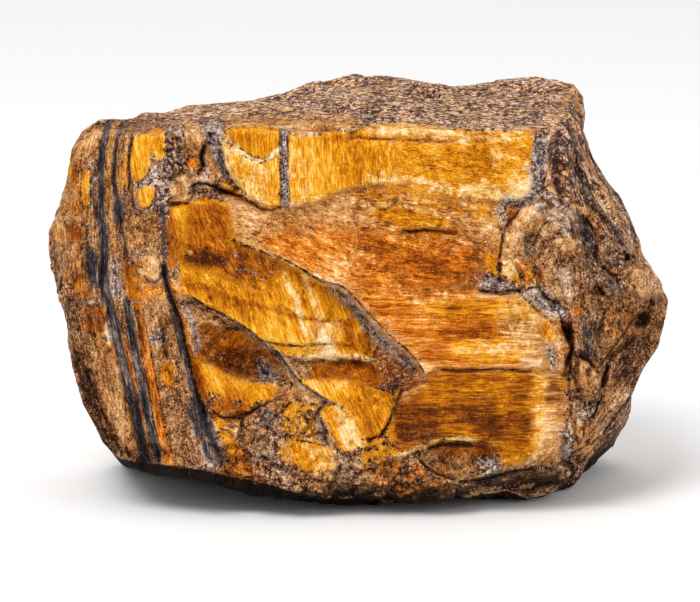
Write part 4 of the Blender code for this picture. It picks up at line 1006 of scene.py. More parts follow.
# %% Strokes of each finish
# A stroke is half of its width in squares and its line. A gap is painted shade: the black
# inside of a crack, or the shadow under a ledge or rim.
STROKES = {
    "tan": (
        (2.0, ((114, 126), (111, 140), (108.5, 155), (108, 175), (108.5, 200), (112, 218))),
        (1.8, ((124, 136), (119.5, 150), (118.5, 170), (119.5, 190))),
        (1.6, ((131, 128), (127, 140), (125.5, 160), (126, 188))),
        (1.6, ((112, 229), (114, 243), (118, 258))),
        (1.4, ((131, 216), (130, 235), (133, 256))),
        (2.4, ((200, 319), (222, 327), (240, 335), (256, 345), (270, 356), (282, 369),
               (292, 379), (305, 391), (318, 399))),
        # These two strokes are the lips above and below the bowl: tan, with painted highlight.
        (2.0, ((392, 458), (410, 452), (425, 444), (445, 439), (480, 440), (492, 446))),
        (1.5, ((500, 471), (515, 467), (530, 465), (541, 462), (552, 465), (560, 468))),
        (1.6, ((232, 240), (250, 246), (275, 257), (292, 265))),
        (1.0, ((573, 88), (562, 108), (553, 124), (549, 138))),
        (0.9, ((548, 142), (548, 160), (549, 178), (557, 198))),
        (1.0, ((594, 196), (606, 214), (618, 232), (632, 248), (648, 261))),
        (0.8, ((582, 152), (596, 176), (610, 200), (622, 222))),
        (0.8, ((576, 100), (582, 125), (592, 150))),
        (0.8, ((558, 198), (568, 204), (580, 208), (590, 216), (598, 232))),
        (1.0, ((632, 270), (644, 271), (656, 282), (664, 292))),
        (0.9, ((637, 284), (640, 292), (644, 300))),
        (1.6, ((580, 211), (590, 222), (597, 240), (604, 258))),
        (1.3, ((200, 398), (222, 412), (236, 440))),
        (1.5, ((395, 336), (412, 352), (424, 368))),
        (1.5, ((606, 352), (603, 366), (600, 380))),
        (1.5, ((575, 408), (582, 402), (592, 399))),
        (1.3, ((579, 420), (580, 436), (578, 450))),
        (1.4, ((560, 300), (566, 309), (570, 316))),
    ),
    "orange": (
        (4.2, ((143, 334), (145, 350), (149, 366), (152, 380), (155, 396), (158, 416),
               (161, 434), (167, 453), (170, 464))),
        (1.8, ((150, 133), (158, 138), (157, 152))),
        (2.4, ((131, 163), (150, 163))),
        (1.4, ((611, 273), (618, 273))),
        (1.6, ((595, 402), (600, 414))),
    ),
    "gold": (
        (1.1, ((127.5, 150), (126, 168), (126, 188))),
        (1.0, ((119.5, 152), (118.5, 172), (119.5, 188))),
        (2.2, ((204, 364), (212, 380), (222, 398))),
        (2.0, ((238, 380), (246, 394), (252, 404))),
        (1.2, ((173, 206), (176, 230), (182, 256))),
        (1.2, ((180, 205), (183, 228), (185, 250))),
    ),
    "amber": (
        (2.8, ((137, 284), (138, 300), (139, 312), (142, 328))),
        (1.4, ((141, 410), (144, 425), (148, 442), (153, 460))),
        (2.6, ((185, 283), (205, 288), (225, 297), (250, 304), (280, 311))),
        (1.4, ((205, 297), (225, 304), (245, 312), (262, 322))),
        (1.8, ((282, 312), (300, 320), (325, 321), (345, 322))),
        (2.2, ((297, 272), (303, 290), (312, 315), (318, 340))),
        (1.3, ((352, 137), (380, 139), (420, 141), (470, 142))),
        (3.0, ((325, 138), (350, 138))),
        (1.5, ((440, 319), (480, 322), (520, 320))),
        (2.0, ((440, 334), (470, 335), (510, 333))),
        (1.4, ((400, 333), (430, 336))),
        (1.4, ((366, 312), (390, 313), (420, 316))),
        (1.5, ((440, 309), (480, 310), (505, 308))),
        (1.4, ((480, 326), (505, 328), (530, 326))),
        (1.2, ((318, 335), (322, 358))),
        (1.6, ((300, 300), (308, 325), (312, 345))),
        (1.4, ((222, 372), (236, 392), (244, 402))),
        (1.6, ((176, 215), (180, 240), (184, 262))),
        (1.0, ((440, 362), (480, 363), (520, 361))),
    ),
    "cream": (
        (1.8, ((284, 274), (292, 292), (299, 312), (304, 335), (306, 345))),
        (1.6, ((303, 276), (311, 295), (319, 315), (326, 335))),
        (1.3, ((224, 141), (224, 152), (228, 166), (232, 177))),
        # The lower rim of the half-moon chip: pale edge and painted highlight.
        (1.0, ((223, 132), (228, 139), (236, 147), (247, 156), (257, 160), (267, 160))),
        (2.0, ((372, 181), (400, 179), (425, 181), (450, 187), (466, 191))),
        (1.5, ((345, 196), (362, 203), (373, 207))),
        (1.5, ((430, 189), (460, 195), (500, 197))),
        # The upper lip of the bowl: painted highlight.
        (1.1, ((397, 457), (411, 452), (423, 446), (440, 440), (460, 439), (478, 441))),
        (1.4, ((300, 357), (330, 358), (358, 356), (374, 360))),
        (1.4, ((374, 207), (386, 207), (399, 200))),
        (1.2, ((402, 207), (430, 212), (448, 218))),
        (1.0, ((283, 142), (276, 152), (266, 160))),
        (1.0, ((366, 172), (370, 180))),
        (1.0, ((380, 170), (384, 178))),
        (1.0, ((394, 172), (398, 180))),
        (1.2, ((400, 394), (396, 405), (391, 420))),
        (1.0, ((536, 315), (520, 312), (500, 313))),
        (1.2, ((480, 344), (510, 345), (530, 343))),
        (1.2, ((460, 351), (500, 352), (528, 350))),
        (1.0, ((186, 252), (192, 251))),
        (1.2, ((380, 334), (392, 346))),
        (1.2, ((540, 293), (552, 305), (564, 314))),
        (1.0, ((532, 292), (545, 306), (555, 314))),
        (1.2, ((106, 326), (110, 340))),
        (1.0, ((410, 296), (440, 294), (470, 297))),
        (1.2, ((350, 201), (358, 205))),
        (1.0, ((569, 424), (573, 436), (576, 446))),
        (1.0, ((500, 196), (512, 198), (524, 196))),
    ),
    "slate": (
        (1.6, ((562, 140), (574, 168), (592, 196), (612, 226), (624, 244))),
        (1.3, ((578, 112), (588, 140), (604, 172), (622, 204), (634, 232))),
        (1.2, ((600, 208), (614, 226), (628, 246))),
        (1.2, ((566, 112), (570, 135), (580, 160))),
        (1.4, ((588, 330), (589, 345), (588, 356))),
        (3.4, ((108, 124), (105, 138), (102, 152), (101, 172), (102, 192), (100, 206))),
        (4.6, ((99, 208), (101, 222), (104, 235), (105, 252), (103, 270), (106, 290),
               (110, 305), (115, 325), (118, 340), (122, 360), (127, 380), (132, 400),
               (137, 418), (141, 440), (145, 460))),
        (2.0, ((122, 124), (117, 140), (115, 155), (114.5, 178), (115, 194))),
        (0.6, ((129, 124), (123.5, 138), (122, 160), (122.5, 184))),
        (1.2, ((93, 198), (95, 212), (98, 224))),
        (1.4, ((120, 224), (124, 240), (127, 256))),
        (1.2, ((94, 258), (98, 276), (102, 296), (106, 306))),
        (4.2, ((127, 303), (130, 318), (132, 333), (135, 350), (138, 368), (142, 386),
               (145, 402), (149, 420), (152, 437), (158, 458))),
        (2.2, ((162, 205), (164, 230), (165, 255), (165, 272))),
        # This stroke follows the lower-left crevice: dark ore, and painted shade in the crevice.
        (3.0, ((165, 274), (168, 290), (173, 310), (178, 332), (183, 354), (189, 376),
               (196, 397), (203, 415))),
    ),
    "seam": (
        (3.4, ((284, 130), (284, 165), (286, 206))),
        (1.5, ((140, 184), (136, 200), (141, 212), (152, 210), (158, 198))),
        (1.4, ((130, 250), (140, 256), (150, 248))),
        (1.4, ((169, 128), (182, 130), (180, 148), (178, 172))),
        (1.6, ((190, 188), (198, 184), (206, 176), (203, 160))),
        (1.2, ((160, 268), (161, 280), (150, 284))),
        (1.2, ((300, 384), (320, 398), (338, 405))),
        (1.6, ((262, 341), (275, 352), (287, 366), (296, 380))),
        (0.9, ((85, 302), (94, 301), (105, 303))),
    ),
    "gap": (
        (0.9, ((187, 246), (200, 247), (215, 250), (226, 244), (234, 240), (242, 244))),
        (1.0, ((240, 244), (255, 249), (275, 257), (285, 259), (300, 268), (312, 276),
               (324, 282))),
        (0.7, ((324, 282), (340, 285), (352, 293), (362, 306), (376, 321), (390, 335),
               (404, 347), (416, 360), (424, 372))),
        (0.9, ((192, 297), (205, 306), (222, 314), (240, 324), (252, 332), (262, 341))),
        (0.7, ((262, 341), (282, 345), (300, 346), (325, 344))),
        (0.9, ((276, 351), (287, 365), (296, 378), (308, 388), (326, 400))),
        (1.2, ((190, 188), (198, 183), (206, 183), (214, 187), (222, 191), (232, 194))),
        (0.7, ((232, 194), (244, 197), (254, 204), (264, 209), (274, 210))),
        (0.9, ((170, 203), (180, 202), (188, 204))),
        (1.6, ((204, 146), (201, 155), (203, 165))),
        (0.7, ((520, 208), (515, 217), (506, 226))),
        (1.0, ((503, 234), (501, 248), (499, 262))),
        (0.9, ((550, 221), (545, 223), (541, 228), (537, 237), (532, 247))),
        (0.7, ((521, 293), (530, 288), (541, 287), (546, 297), (556, 303), (568, 310))),
        (0.6, ((523, 297), (534, 307), (545, 317), (556, 325))),
        (0.8, ((533, 244), (536, 254))),
        (1.0, ((480, 291), (500, 292), (512, 290), (521, 292))),
        (0.9, ((538, 287), (545, 298), (558, 303))),
        (1.4, ((561, 320), (564, 330), (569, 340))),
        (1.2, ((573, 345), (570, 358), (571, 372))),
        (1.4, ((580, 357), (588, 360), (594, 367))),
        (1.6, ((608, 366), (604, 376), (602, 386))),
        (1.4, ((583, 216), (590, 224), (596, 236))),
        (1.5, ((624, 252), (629, 258))),
        (1.2, ((596, 285), (601, 290), (604, 296))),
        (0.5, ((440, 370), (462, 369), (480, 370), (522, 369))),
        (1.3, ((420, 460), (426, 467), (437, 474), (450, 478), (460, 482), (480, 480),
               (500, 475), (515, 471), (530, 469), (541, 466), (552, 469))),
        (1.5, ((428, 449), (440, 445), (452, 444), (475, 446))),
        (1.0, ((630, 397), (616, 415), (603, 434), (590, 444))),
        (0.9, ((633, 319), (622, 336), (610, 352), (598, 368))),
        (1.0, ((62, 276), (60, 290))),
        (0.9, ((80, 358), (88, 375), (96, 396), (104, 415), (111, 430), (119, 448))),
        (1.8, ((126, 448), (129, 456))),
        (0.6, ((91, 168), (90.5, 185), (91, 204))),
        (0.6, ((81, 184), (81, 200), (84, 209))),
        (0.8, ((133, 137), (130, 150), (129, 165), (130, 180), (128, 190))),
        (0.7, ((161, 264), (161, 277), (156, 282), (148, 282), (144, 276))),
        (0.8, ((121, 262), (122, 276), (126, 296), (132, 312))),
        (0.6, ((139, 334), (143, 362), (149, 390), (154, 424), (162, 452))),
        (0.6, ((147, 332), (153, 362), (159, 394), (165, 430), (172, 453))),
        (1.9, ((164, 266), (165, 280), (169, 292), (175, 308), (181, 324), (184, 340))),
        (1.5, ((184, 340), (188, 356), (192, 374), (198, 396), (206, 416))),
        (0.9, ((155, 405), (161, 405))),
        (0.8, ((204, 405), (222, 417), (240, 418), (252, 412), (268, 402))),
        (0.9, ((296, 440), (308, 442), (325, 446))),
        (0.8, ((244, 478), (256, 476), (268, 478))),
        (1.0, ((380, 436), (388, 424), (394, 408))),
        (0.3, ((420, 140), (380, 139), (352, 138))),
        (0.4, ((405, 231), (430, 231), (450, 230))),
        (0.6, ((280, 130), (280, 165), (281, 204))),
        (0.6, ((288, 132), (288, 165), (290, 202))),
        (0.8, ((243, 156), (256, 163), (268, 163))),
        (0.8, ((222, 408), (214, 395), (206, 378))),
        (0.7, ((183, 132), (187, 150), (190, 158))),
        (0.8, ((150, 168), (147, 177), (140, 183))),
        (0.8, ((156, 186), (156, 200), (148, 209))),
    ),
}

# %% Read the finishes into the mesh
DEEPEST = 20.0  # squares
CLEAR_COVER, FADING = 8, 0.4
points = read_points(stone.data)
normals = read_points(stone.data, "normal")
facing_eye = normals @ -np.array(AWAY)
places = to_sheet(points)


def keep(name, values):
    """Stores one number for each point of the stone, for the material to read."""
    stone.data.attributes.new(name, "FLOAT", "POINT").data.foreach_set(
        "value", np.asarray(values, np.float32)
    )


def finish_depth(places, areas, strokes):
    """How deep each place lies inside any of these areas or strokes, in squares."""
    deepest = np.full(len(places), -DEEPEST)
    for cover, outline in areas:
        near = near_box(places, outline, DEEPEST)
        slope = 1 if cover >= CLEAR_COVER else FADING
        depth = np.minimum(area_depth(places[near], outline) * slope, cover)
        deepest[near] = np.maximum(deepest[near], depth)
    for half_width, line in strokes:
        near = near_box(places, line, DEEPEST)
        depth = half_width - line_distance(places[near], line)[0]
        deepest[near] = np.maximum(deepest[near], depth)
    return deepest


# The bands are sheets that run right through the stone, so they come out again behind, and
# a chip in the crust there shows clay and tan quartz, and rust and gold fibre in its
# deepest part.
THROUGH = {"brown": 2, "slate": 1.2, "orange": 3.5, "amber": 3.5}  # squares thinner behind
CHIPPED = {"brown": 0, "tan": 1.5, "orange": 4, "gold": 6}
LUMP_BEHIND = 5  # mm
SCAR_LEAST, SCAR_SHOWS, PATCH_SHOWS, FRESH_MOST = 1.0, 5, 14, 8
patches = noise_at(points, LUMP_BEHIND, 3)
scarred = (scar_depth(points) - SCAR_LEAST) * SCAR_SHOWS
fresh = np.minimum(scarred + patches * PATCH_SHOWS, FRESH_MOST)
for finish in AREAS:
    depths = finish_depth(places, AREAS[finish], STROKES.get(finish, ()))
    hidden = depths - THROUGH.get(finish, 2 * DEEPEST)
    if finish in CHIPPED:
        hidden = np.maximum(hidden, fresh - CHIPPED[finish])
    keep(finish, np.clip(np.where(facing_eye > 0, depths, hidden), -DEEPEST, 2 * DEEPEST))
    print(finish, "covers", round(100 * np.mean(depths > 0)), "% of the points")

# %% [markdown]
# ## Crust, tone, painted shade and worn edges
# The crust is the old outside of the lump. It covers the top, the right flank and all that
# was not struck off. Tone lightens or darkens a part of the broken face: partly as dust and
# clay do, and partly as painted sheen, light and shade, where fibres lean another way, a lip
# is lit or a facet lies in shadow. Faces that look down near the floor are kept for painted
# shade. The worn edges come from the mesh itself: a point that stands out from its smoothed
# neighbours is a ridge, painted paler as worn stone is, and one that lies below them is a
# hollow, painted darker as shade.

# %% Crust, tone with painted light and shade, and painted shade underneath
CRUST = (
    ((40, 60), (40, 150), (66, 150), (76, 136), (90, 126), (110, 122), (134, 116), (160, 119),
     (200, 120), (226, 119), (300, 118), (345, 118), (358, 126), (400, 124), (425, 124),
     (445, 129), (480, 131), (536, 131), (550, 128), (560, 108), (568, 92), (572, 60)),
    ((550, 128), (560, 108), (568, 92), (575, 70), (700, 70), (700, 520), (560, 520),
     (566, 478), (585, 458), (603, 400), (612, 362), (628, 345), (643, 320), (655, 296),
     (640, 264), (616, 228), (596, 204), (566, 200), (548, 178), (547, 160), (552, 148)),
)
# Some tones are the stone's own colour, and some are painted sheen, light and shade: fibres that
# shine where they lean another way, a lit lip, and facets and ledges in shadow.
TONE_LIGHT_AND_SHADE = (  # how much lighter, and where
    (0.01, ((40, 60), (40, 120), (225, 118), (358, 122), (445, 126), (560, 124), (572, 60))),
    (0.03, ((228, 118), (350, 117), (358, 127), (310, 137), (280, 128), (230, 128))),
    (0.06, ((288, 133), (350, 133), (350, 188), (300, 204), (288, 204))),
    (0.05, ((222, 140), (280, 150), (280, 208), (250, 200), (226, 170))),
    (-0.02, ((455, 140), (535, 132), (532, 170), (460, 170))),
    (-0.03, ((350, 200), (480, 205), (482, 290), (360, 285))),
    (-0.05, ((612, 338), (662, 338), (655, 385), (612, 395))),
    (-0.06, ((320, 132), (356, 134), (356, 148), (322, 150))),
    (0.05, ((130, 128), (168, 128), (166, 162), (150, 212), (130, 212))),
    (0.05, ((168, 120), (222, 118), (222, 180), (188, 204), (168, 200))),
    (-0.03, ((185, 285), (236, 296), (275, 305), (262, 322), (215, 308))),
    (0.08, ((278, 268), (300, 270), (340, 330), (340, 358), (290, 356), (262, 338))),
    (0.01, ((200, 270), (262, 290), (300, 356), (270, 345), (210, 305))),
    (-0.06, ((350, 384), (400, 390), (392, 436), (362, 440))),
    (0.05, ((204, 362), (262, 380), (240, 392), (210, 385))),
    (0.06, ((300, 378), (345, 380), (365, 446), (340, 452), (318, 400))),
    (-0.11, ((385, 372), (480, 368), (535, 372), (532, 456), (400, 445))),
    (0.03, ((430, 402), (478, 402), (480, 440), (450, 440))),
    (0.07, ((500, 374), (512, 374), (512, 448), (500, 448))),
    (0.08, ((536, 372), (545, 372), (545, 440), (536, 440))),
    (-0.06, ((480, 400), (498, 398), (498, 440), (480, 440))),
    (0.05, ((400, 336), (478, 334), (530, 340), (528, 362), (415, 360))),
    (-0.06, ((430, 318), (540, 318), (540, 338), (430, 338))),
    (0.05, ((498, 296), (508, 296), (508, 366), (498, 366))),
    (0.03, ((526, 300), (538, 300), (536, 352), (528, 352))),
    (-0.05, ((430, 240), (484, 246), (478, 292), (430, 290))),
    (0.05, ((300, 245), (350, 240), (372, 262), (340, 285), (300, 268))),
    (-0.02, ((350, 192), (470, 200), (470, 232), (350, 228))),
    (0.08, ((188, 318), (215, 320), (260, 342), (292, 376), (282, 380), (250, 350), (195, 330))),
    (-0.05, ((62, 285), (100, 290), (106, 350), (70, 360))),
    (-0.05, ((585, 232), (620, 232), (622, 290), (585, 290))),
    (-0.14, ((120, 395), (142, 395), (160, 470), (140, 470))),
    (-0.05, ((138, 330), (147, 330), (166, 420), (176, 462), (164, 462), (148, 390))),
    (-0.06, ((162, 340), (196, 350), (212, 430), (190, 450), (172, 400))),
    (-0.06, ((378, 347), (395, 350), (412, 362), (418, 376), (398, 386), (384, 372))),
    (-0.04, ((66, 300), (104, 300), (108, 360), (72, 356))),
    (0.05, ((133, 256), (160, 252), (162, 282), (135, 280))),
    (-0.04, ((560, 300), (600, 296), (640, 300), (670, 300), (660, 350), (600, 420),
             (580, 450), (568, 440), (572, 380))),
    (-0.22, ((184, 252), (205, 250), (224, 255), (222, 264), (192, 266), (182, 261))),
    (-0.07, ((224, 244), (262, 254), (284, 266), (272, 280), (240, 282), (218, 270))),
    (-0.06, ((198, 322), (232, 328), (262, 346), (276, 362), (262, 380), (222, 370))),
    (0.05, ((290, 360), (330, 361), (378, 366), (380, 384), (300, 382))),
    (0.14, ((106, 322), (112, 320), (114, 343), (107, 344))),
    (-0.2, ((70, 356), (80, 359), (96, 397), (111, 431), (119, 448), (110, 456), (84, 412))),
    (-0.04, ((84, 150), (130, 130), (130, 215), (100, 300), (84, 260))),
    (-0.12, ((537, 240), (550, 239), (552, 250), (540, 253))),
    (-0.06, ((385, 400), (470, 400), (530, 410), (530, 450), (400, 445))),
    (-0.10, ((576, 214), (590, 218), (600, 262), (588, 268), (580, 240))),
    (-0.04, ((632, 310), (662, 296), (668, 310), (655, 350), (636, 350))),
    (0.08, ((632, 270), (646, 272), (662, 292), (644, 298))),
    (-0.04, ((92, 300), (60, 300), (60, 200), (90, 200))),
    (0.03, ((92, 335), (108, 335), (112, 360), (96, 362))),
    (0.03, ((108, 385), (128, 395), (136, 445), (118, 440))),
    (0.06, ((500, 205), (578, 208), (560, 300), (500, 285))),
    # Painted shade on the flank corner that turns away from the lamp.
    (-0.07, ((555, 130), (582, 100), (590, 170), (600, 205), (560, 200), (548, 160))),
    (-0.04, ((552, 150), (566, 165), (578, 196), (562, 198), (552, 180))),
    (-0.03, ((536, 196), (580, 214), (578, 258), (545, 256))),
    (0.05, ((135, 256), (160, 258), (160, 282), (136, 276))),
    (-0.04, ((660, 290), (600, 400), (560, 480), (640, 420))),
    (0.06, ((612, 380), (628, 380), (610, 425), (590, 452), (584, 440))),
    (0.04, ((410, 455), (424, 445), (494, 449), (502, 462), (472, 482), (436, 472))),
    # Painted highlight on the lit lip below the bowl and the panel.
    (0.12, ((440, 484), (470, 478), (565, 468), (560, 494), (440, 500))),
)
TONE_EDGE = 7  # squares
BACK_FROM, BACK_SLOPE = 0.12, 60
UNDER_FACING, UNDER_HEIGHT, UNDER_SHADE = (0.05, 0.45), (9, 2), 0.95  # height in mm
struck_faces = np.full(len(places), -DEEPEST)
for outline in CRUST:
    struck_faces = np.maximum(struck_faces, area_depth(places, outline))
behind = (BACK_FROM - facing_eye) * BACK_SLOPE
keep("crust", np.clip(np.maximum(struck_faces, behind), -DEEPEST, DEEPEST))

tone = np.zeros(len(places))
for lighter, outline in TONE_LIGHT_AND_SHADE:
    near = near_box(places, outline, EDGE_REACH)
    inside = smooth_step(-TONE_EDGE, TONE_EDGE, area_depth(places[near], outline))
    tone[near] += lighter * inside
keep("tone", np.where(facing_eye > 0, tone, 0))
# Faces that look down, low on the stone, are marked for painted shade, laid on almost black.
under = smooth_step(*UNDER_FACING, -normals[:, 2]) * smooth_step(*UNDER_HEIGHT, points[:, 2])
keep("under", UNDER_SHADE * under)
print("crust covers", round(100 * np.mean(struck_faces > 0)), "% of the points")

# %% Worn edges and painted shade in the hollows
EDGE_ROUNDS = (6, 60)  # rounds of smoothing: about 0.6 mm and 2 mm wide
EDGE_SPREAD = 3  # how many standard deviations count in full


def smoothed(values, edges, rounds):
    """The values, each moved to the mean of its neighbours this many times."""
    links = np.bincount(edges.ravel(), minlength=len(values))
    for _ in range(rounds):
        total = np.empty_like(values)
        for axis in range(values.shape[1]):
            near, far = values[edges[:, 0], axis], values[edges[:, 1], axis]
            total[:, axis] = np.bincount(edges[:, 0], far, len(values))
            total[:, axis] += np.bincount(edges[:, 1], near, len(values))
        values = total / links[:, None]
    return values


edges = np.empty(len(stone.data.edges) * 2, np.int32)
stone.data.edges.foreach_get("vertices", edges)
edges = edges.reshape(-1, 2)
for name, rounds in zip(("ridge", "swell"), EDGE_ROUNDS):
    stands_out = ((points - smoothed(points, edges, rounds)) * normals).sum(axis=1)
    keep(name, np.clip(stands_out / stands_out.std() / EDGE_SPREAD, -1, 1))
    print(name, "mm:", round(stands_out.std(), 3))

# %% [markdown]
# ## The way the fibres run
# Tiger's eye shimmers because all its fibres lie side by side. They stand nearly upright in
# the upper slab, lean over in the middle, and lie flat on the right. In the banded end they
# follow the bands round their bend. A texture can be drawn out along the fibres by reading it
# at places that are pressed together that way, so each point keeps such a place.

# %% Fibre places
FIBRES = (  # degrees from upright, how drawn out, and where
    (3, 30, ((222, 122), (400, 122), (392, 188), (350, 188), (320, 203), (284, 208),
             (258, 204), (224, 170))),
    (78, 3, ((400, 122), (540, 122), (534, 200), (462, 202), (430, 192), (392, 188))),
    (6, 8, ((128, 126), (168, 126), (168, 186), (155, 212), (130, 212))),
    (14, 20, ((164, 204), (190, 204), (190, 262), (170, 262))),
    (24, 6, ((190, 200), (235, 204), (232, 240), (285, 262), (262, 292), (180, 262))),
    (20, 28, ((178, 260), (262, 292), (285, 268), (322, 282), (385, 345), (376, 360),
              (262, 345), (180, 292))),
    (21, 20, ((184, 358), (282, 382), (262, 410), (196, 405))),
    (24, 22, ((290, 358), (400, 396), (380, 440), (340, 475), (280, 470), (300, 400))),
    (68, 3.5, ((230, 205), (345, 190), (360, 230), (345, 288), (322, 280), (232, 240))),
    (82, 4, ((345, 190), (500, 204), (484, 262), (455, 285), (345, 288), (360, 230))),
    (89, 12, ((356, 290), (455, 285), (540, 300), (545, 368), (424, 372))),
    (89, 9, ((395, 372), (566, 372), (566, 440), (500, 460), (390, 445))),
    (38, 6, ((548, 120), (575, 70), (700, 60), (700, 290), (640, 264), (600, 244),
             (560, 200))),
    (-34, 6, ((640, 300), (700, 280), (700, 520), (560, 520), (580, 470), (600, 400),
              (612, 350))),
    (2, 3, ((560, 262), (600, 262), (632, 300), (612, 350), (600, 400), (580, 460), (562, 460),
            (572, 350))),
)
BAND_GUIDE = (
    (150, 90), (122, 112), (111, 130), (104, 152), (103, 175), (102, 210), (105, 245),
    (107, 290), (115, 328), (121, 360), (131, 400), (139, 440), (152, 500),
)
BAND_END = ((40, 90), (134, 90), (131, 130), (128, 210), (128, 250), (135, 290), (160, 300),
            (172, 310), (188, 360), (204, 410), (224, 480), (224, 520), (40, 520))
BAND_DRAWN_OUT, BAND_DRAWN_IN = 7, 7 / 3  # up and down, and into the stone

across, upright = np.array(RIGHT), np.array(UP)
grain = points.copy()
for angle, drawn_out, outline in FIBRES:
    near = near_box(places, outline, 0)
    near = near[area_depth(places[near], outline) > 0]
    along = across * math.sin(math.radians(angle)) - upright * math.cos(math.radians(angle))
    run = points[near] @ along
    grain[near] -= np.outer(run * (1 - 1 / drawn_out), along)
near = near_box(places, BAND_END, 0)
near = near[area_depth(places[near], BAND_END) > 0]
beside = line_distance(places[near], BAND_GUIDE)[1]
grain[near, 0] = -beside * SHEET_SQUARE
grain[near, 2] /= BAND_DRAWN_OUT
grain[near, 1] /= BAND_DRAWN_IN
stone.data.attributes.new("grain", "FLOAT_VECTOR", "POINT").data.foreach_set(
    "vector", grain.astype(np.float32).ravel()
)
print("banded end:", len(near), "points")

# %% [markdown]
# ## The material
# One material holds the whole stone, because its finishes run into each other. Each finish
# has a range of colours, from its shadows to its lights, and a texture that picks among
# them. Crust is granules with cracks between them, clay and rock are specks, and fibre is
# threads with a dark hair here and there. The finishes are laid one over another. Where one
# ends is the drawn depth, strayed by noise. Scales are in mm, so that 1 / scale is the width
# of a speck: a granule is 0.8 mm, a grain of dust 0.15 mm and a thread of fibre 0.2 mm.

# %% One function for every node
def linear(code):
    """The linear colour of an sRGB hex code."""
    parts = [int(code[i : i + 2], 16) / 255 for i in (1, 3, 5)]
    return *(p / 12.92 if p <= 0.04045 else ((p + 0.055) / 1.055) ** 2.4 for p in parts), 1


look = bpy.data.materials.new("tigers_eye_quartz")
look.use_nodes = True
tree = look.node_tree
tree.nodes.clear()


def add(kind, inputs, stops=(), output=0, **settings):
    """Adds one node with its settings, links and colour stops, and returns an output."""
    node = tree.nodes.new("ShaderNode" + kind)
    for name, value in settings.items():
        setattr(node, name, value)
    for name, value in inputs.items():
        if isinstance(value, bpy.types.NodeSocket):
            tree.links.new(value, node.inputs[name])
        else:
            node.inputs[name].default_value = value
    for place, code in stops[2:]:
        node.color_ramp.elements.new(place)
    for element, (place, code) in zip(node.color_ramp.elements if stops else (), stops):
        element.position, element.color = place, linear(code)
    return node.outputs[output] if node.outputs else node


# %% Specks, threads and clouds
object_place = add("TexCoord", {}, output=3)
place = add("Mapping", {"Vector": object_place, "Scale": (1 / MM,) * 3})
grain_place = add("Attribute", {}, output=1, attribute_name="grain")
cloud = add("TexNoise", {"Vector": place, "Scale": 0.22, "Detail": 4.0, "Roughness": 0.6})
ragged = add("TexNoise", {"Vector": place, "Scale": 0.9, "Detail": 4.0, "Roughness": 0.65})
speck = add("TexNoise", {"Vector": place, "Scale": 2.2, "Detail": 3.0, "Roughness": 0.75})
granule = add("TexNoise", {"Vector": place, "Scale": 1.3, "Detail": 4.0, "Roughness": 0.8})
dust = add("TexNoise", {"Vector": place, "Scale": 6.5, "Detail": 1.0, "Roughness": 0.5})
fibre = add("TexNoise", {"Vector": grain_place, "Scale": 1.3, "Detail": 3.0,
                         "Roughness": 0.7, "Distortion": 0.2})
thread = add("TexNoise", {"Vector": grain_place, "Scale": 5.0, "Detail": 2.0,
                          "Roughness": 0.7})
tone_and_shade_here = add("Attribute", {}, output=2, attribute_name="tone")
ridge_here = add("Attribute", {}, output=2, attribute_name="ridge")
swell_here = add("Attribute", {}, output=2, attribute_name="swell")

# Two kinds of thin dark line: cracks between grains about 0.8 mm wide, bent by noise, and
# hairs along the fibres, where another noise passes its middle.
wobble = add("TexNoise", {"Vector": place, "Scale": 1.4, "Detail": 3.0}, output=1)
bent = add("VectorMath", {0: wobble, 1: (0.9,) * 3, 2: place}, operation="MULTIPLY_ADD")
cell_edge = add("TexVoronoi", {"Vector": bent, "Scale": 1.25}, feature="DISTANCE_TO_EDGE")
crackle = add("MapRange", {"Value": cell_edge, "From Max": 0.11, "To Max": 0.6})
wave = add("TexNoise", {"Vector": grain_place, "Scale": 1.0, "Detail": 2.0, "Distortion": 0.4})
from_middle = add("Math", {0: add("Math", {0: wave, 1: 0.5}, operation="SUBTRACT")},
                  operation="ABSOLUTE")
hairline = add("MapRange", {"Value": from_middle, "From Max": 0.03, "To Max": 0.58})


def blend(weights):
    """The sum of several 0 to 1 textures about their middle, each with its weight, plus 0.5."""
    total = 0.5
    for texture, weight in weights:
        shifted = add("Math", {0: texture, 1: -0.5}, operation="ADD")
        total = add("Math", {0: shifted, 1: weight, 2: total}, operation="MULTIPLY_ADD")
    return total


EDGE_SHARE = 0.08
# Ridges come out paler, as worn stone is, and hollows darker, which is painted shade.
ridge_light = add("Math", {0: ridge_here, 1: EDGE_SHARE, 2: 0.5}, operation="MULTIPLY_ADD")
swell_light = add("Math", {0: swell_here, 1: EDGE_SHARE, 2: 0.5}, operation="MULTIPLY_ADD")
tone_and_shade_light = add("Math", {0: tone_and_shade_here, 1: 0.5}, operation="ADD")
wear_tone_and_shade = ((tone_and_shade_light, 1), (ridge_light, 1), (swell_light, 0.6))
rocky = blend(((speck, 1.2), (dust, 0.6), (ragged, 0.5), (cloud, 0.5), (fibre, 0.4),
               (thread, 0.4), (crackle, 0.35), *wear_tone_and_shade))
weathered = blend(((granule, 1.4), (speck, 0.7), (dust, 0.6), (cloud, 0.6), (fibre, 0.8),
                   (crackle, 0.5), *wear_tone_and_shade))
silky = blend(((fibre, 0.5), (thread, 0.65), (dust, 0.2), (ragged, 0.2), (cloud, 0.35),
               (hairline, 0.12), *wear_tone_and_shade))
banded = blend(((fibre, 0.75), (thread, 0.7), (ragged, 0.3), (dust, 0.3), (cloud, 0.5),
                (hairline, 0.2), *wear_tone_and_shade))
earthy = blend(((fibre, 0.6), (thread, 0.5), (speck, 0.8), (dust, 0.9), (cloud, 0.5),
                (hairline, 0.15), *wear_tone_and_shade))

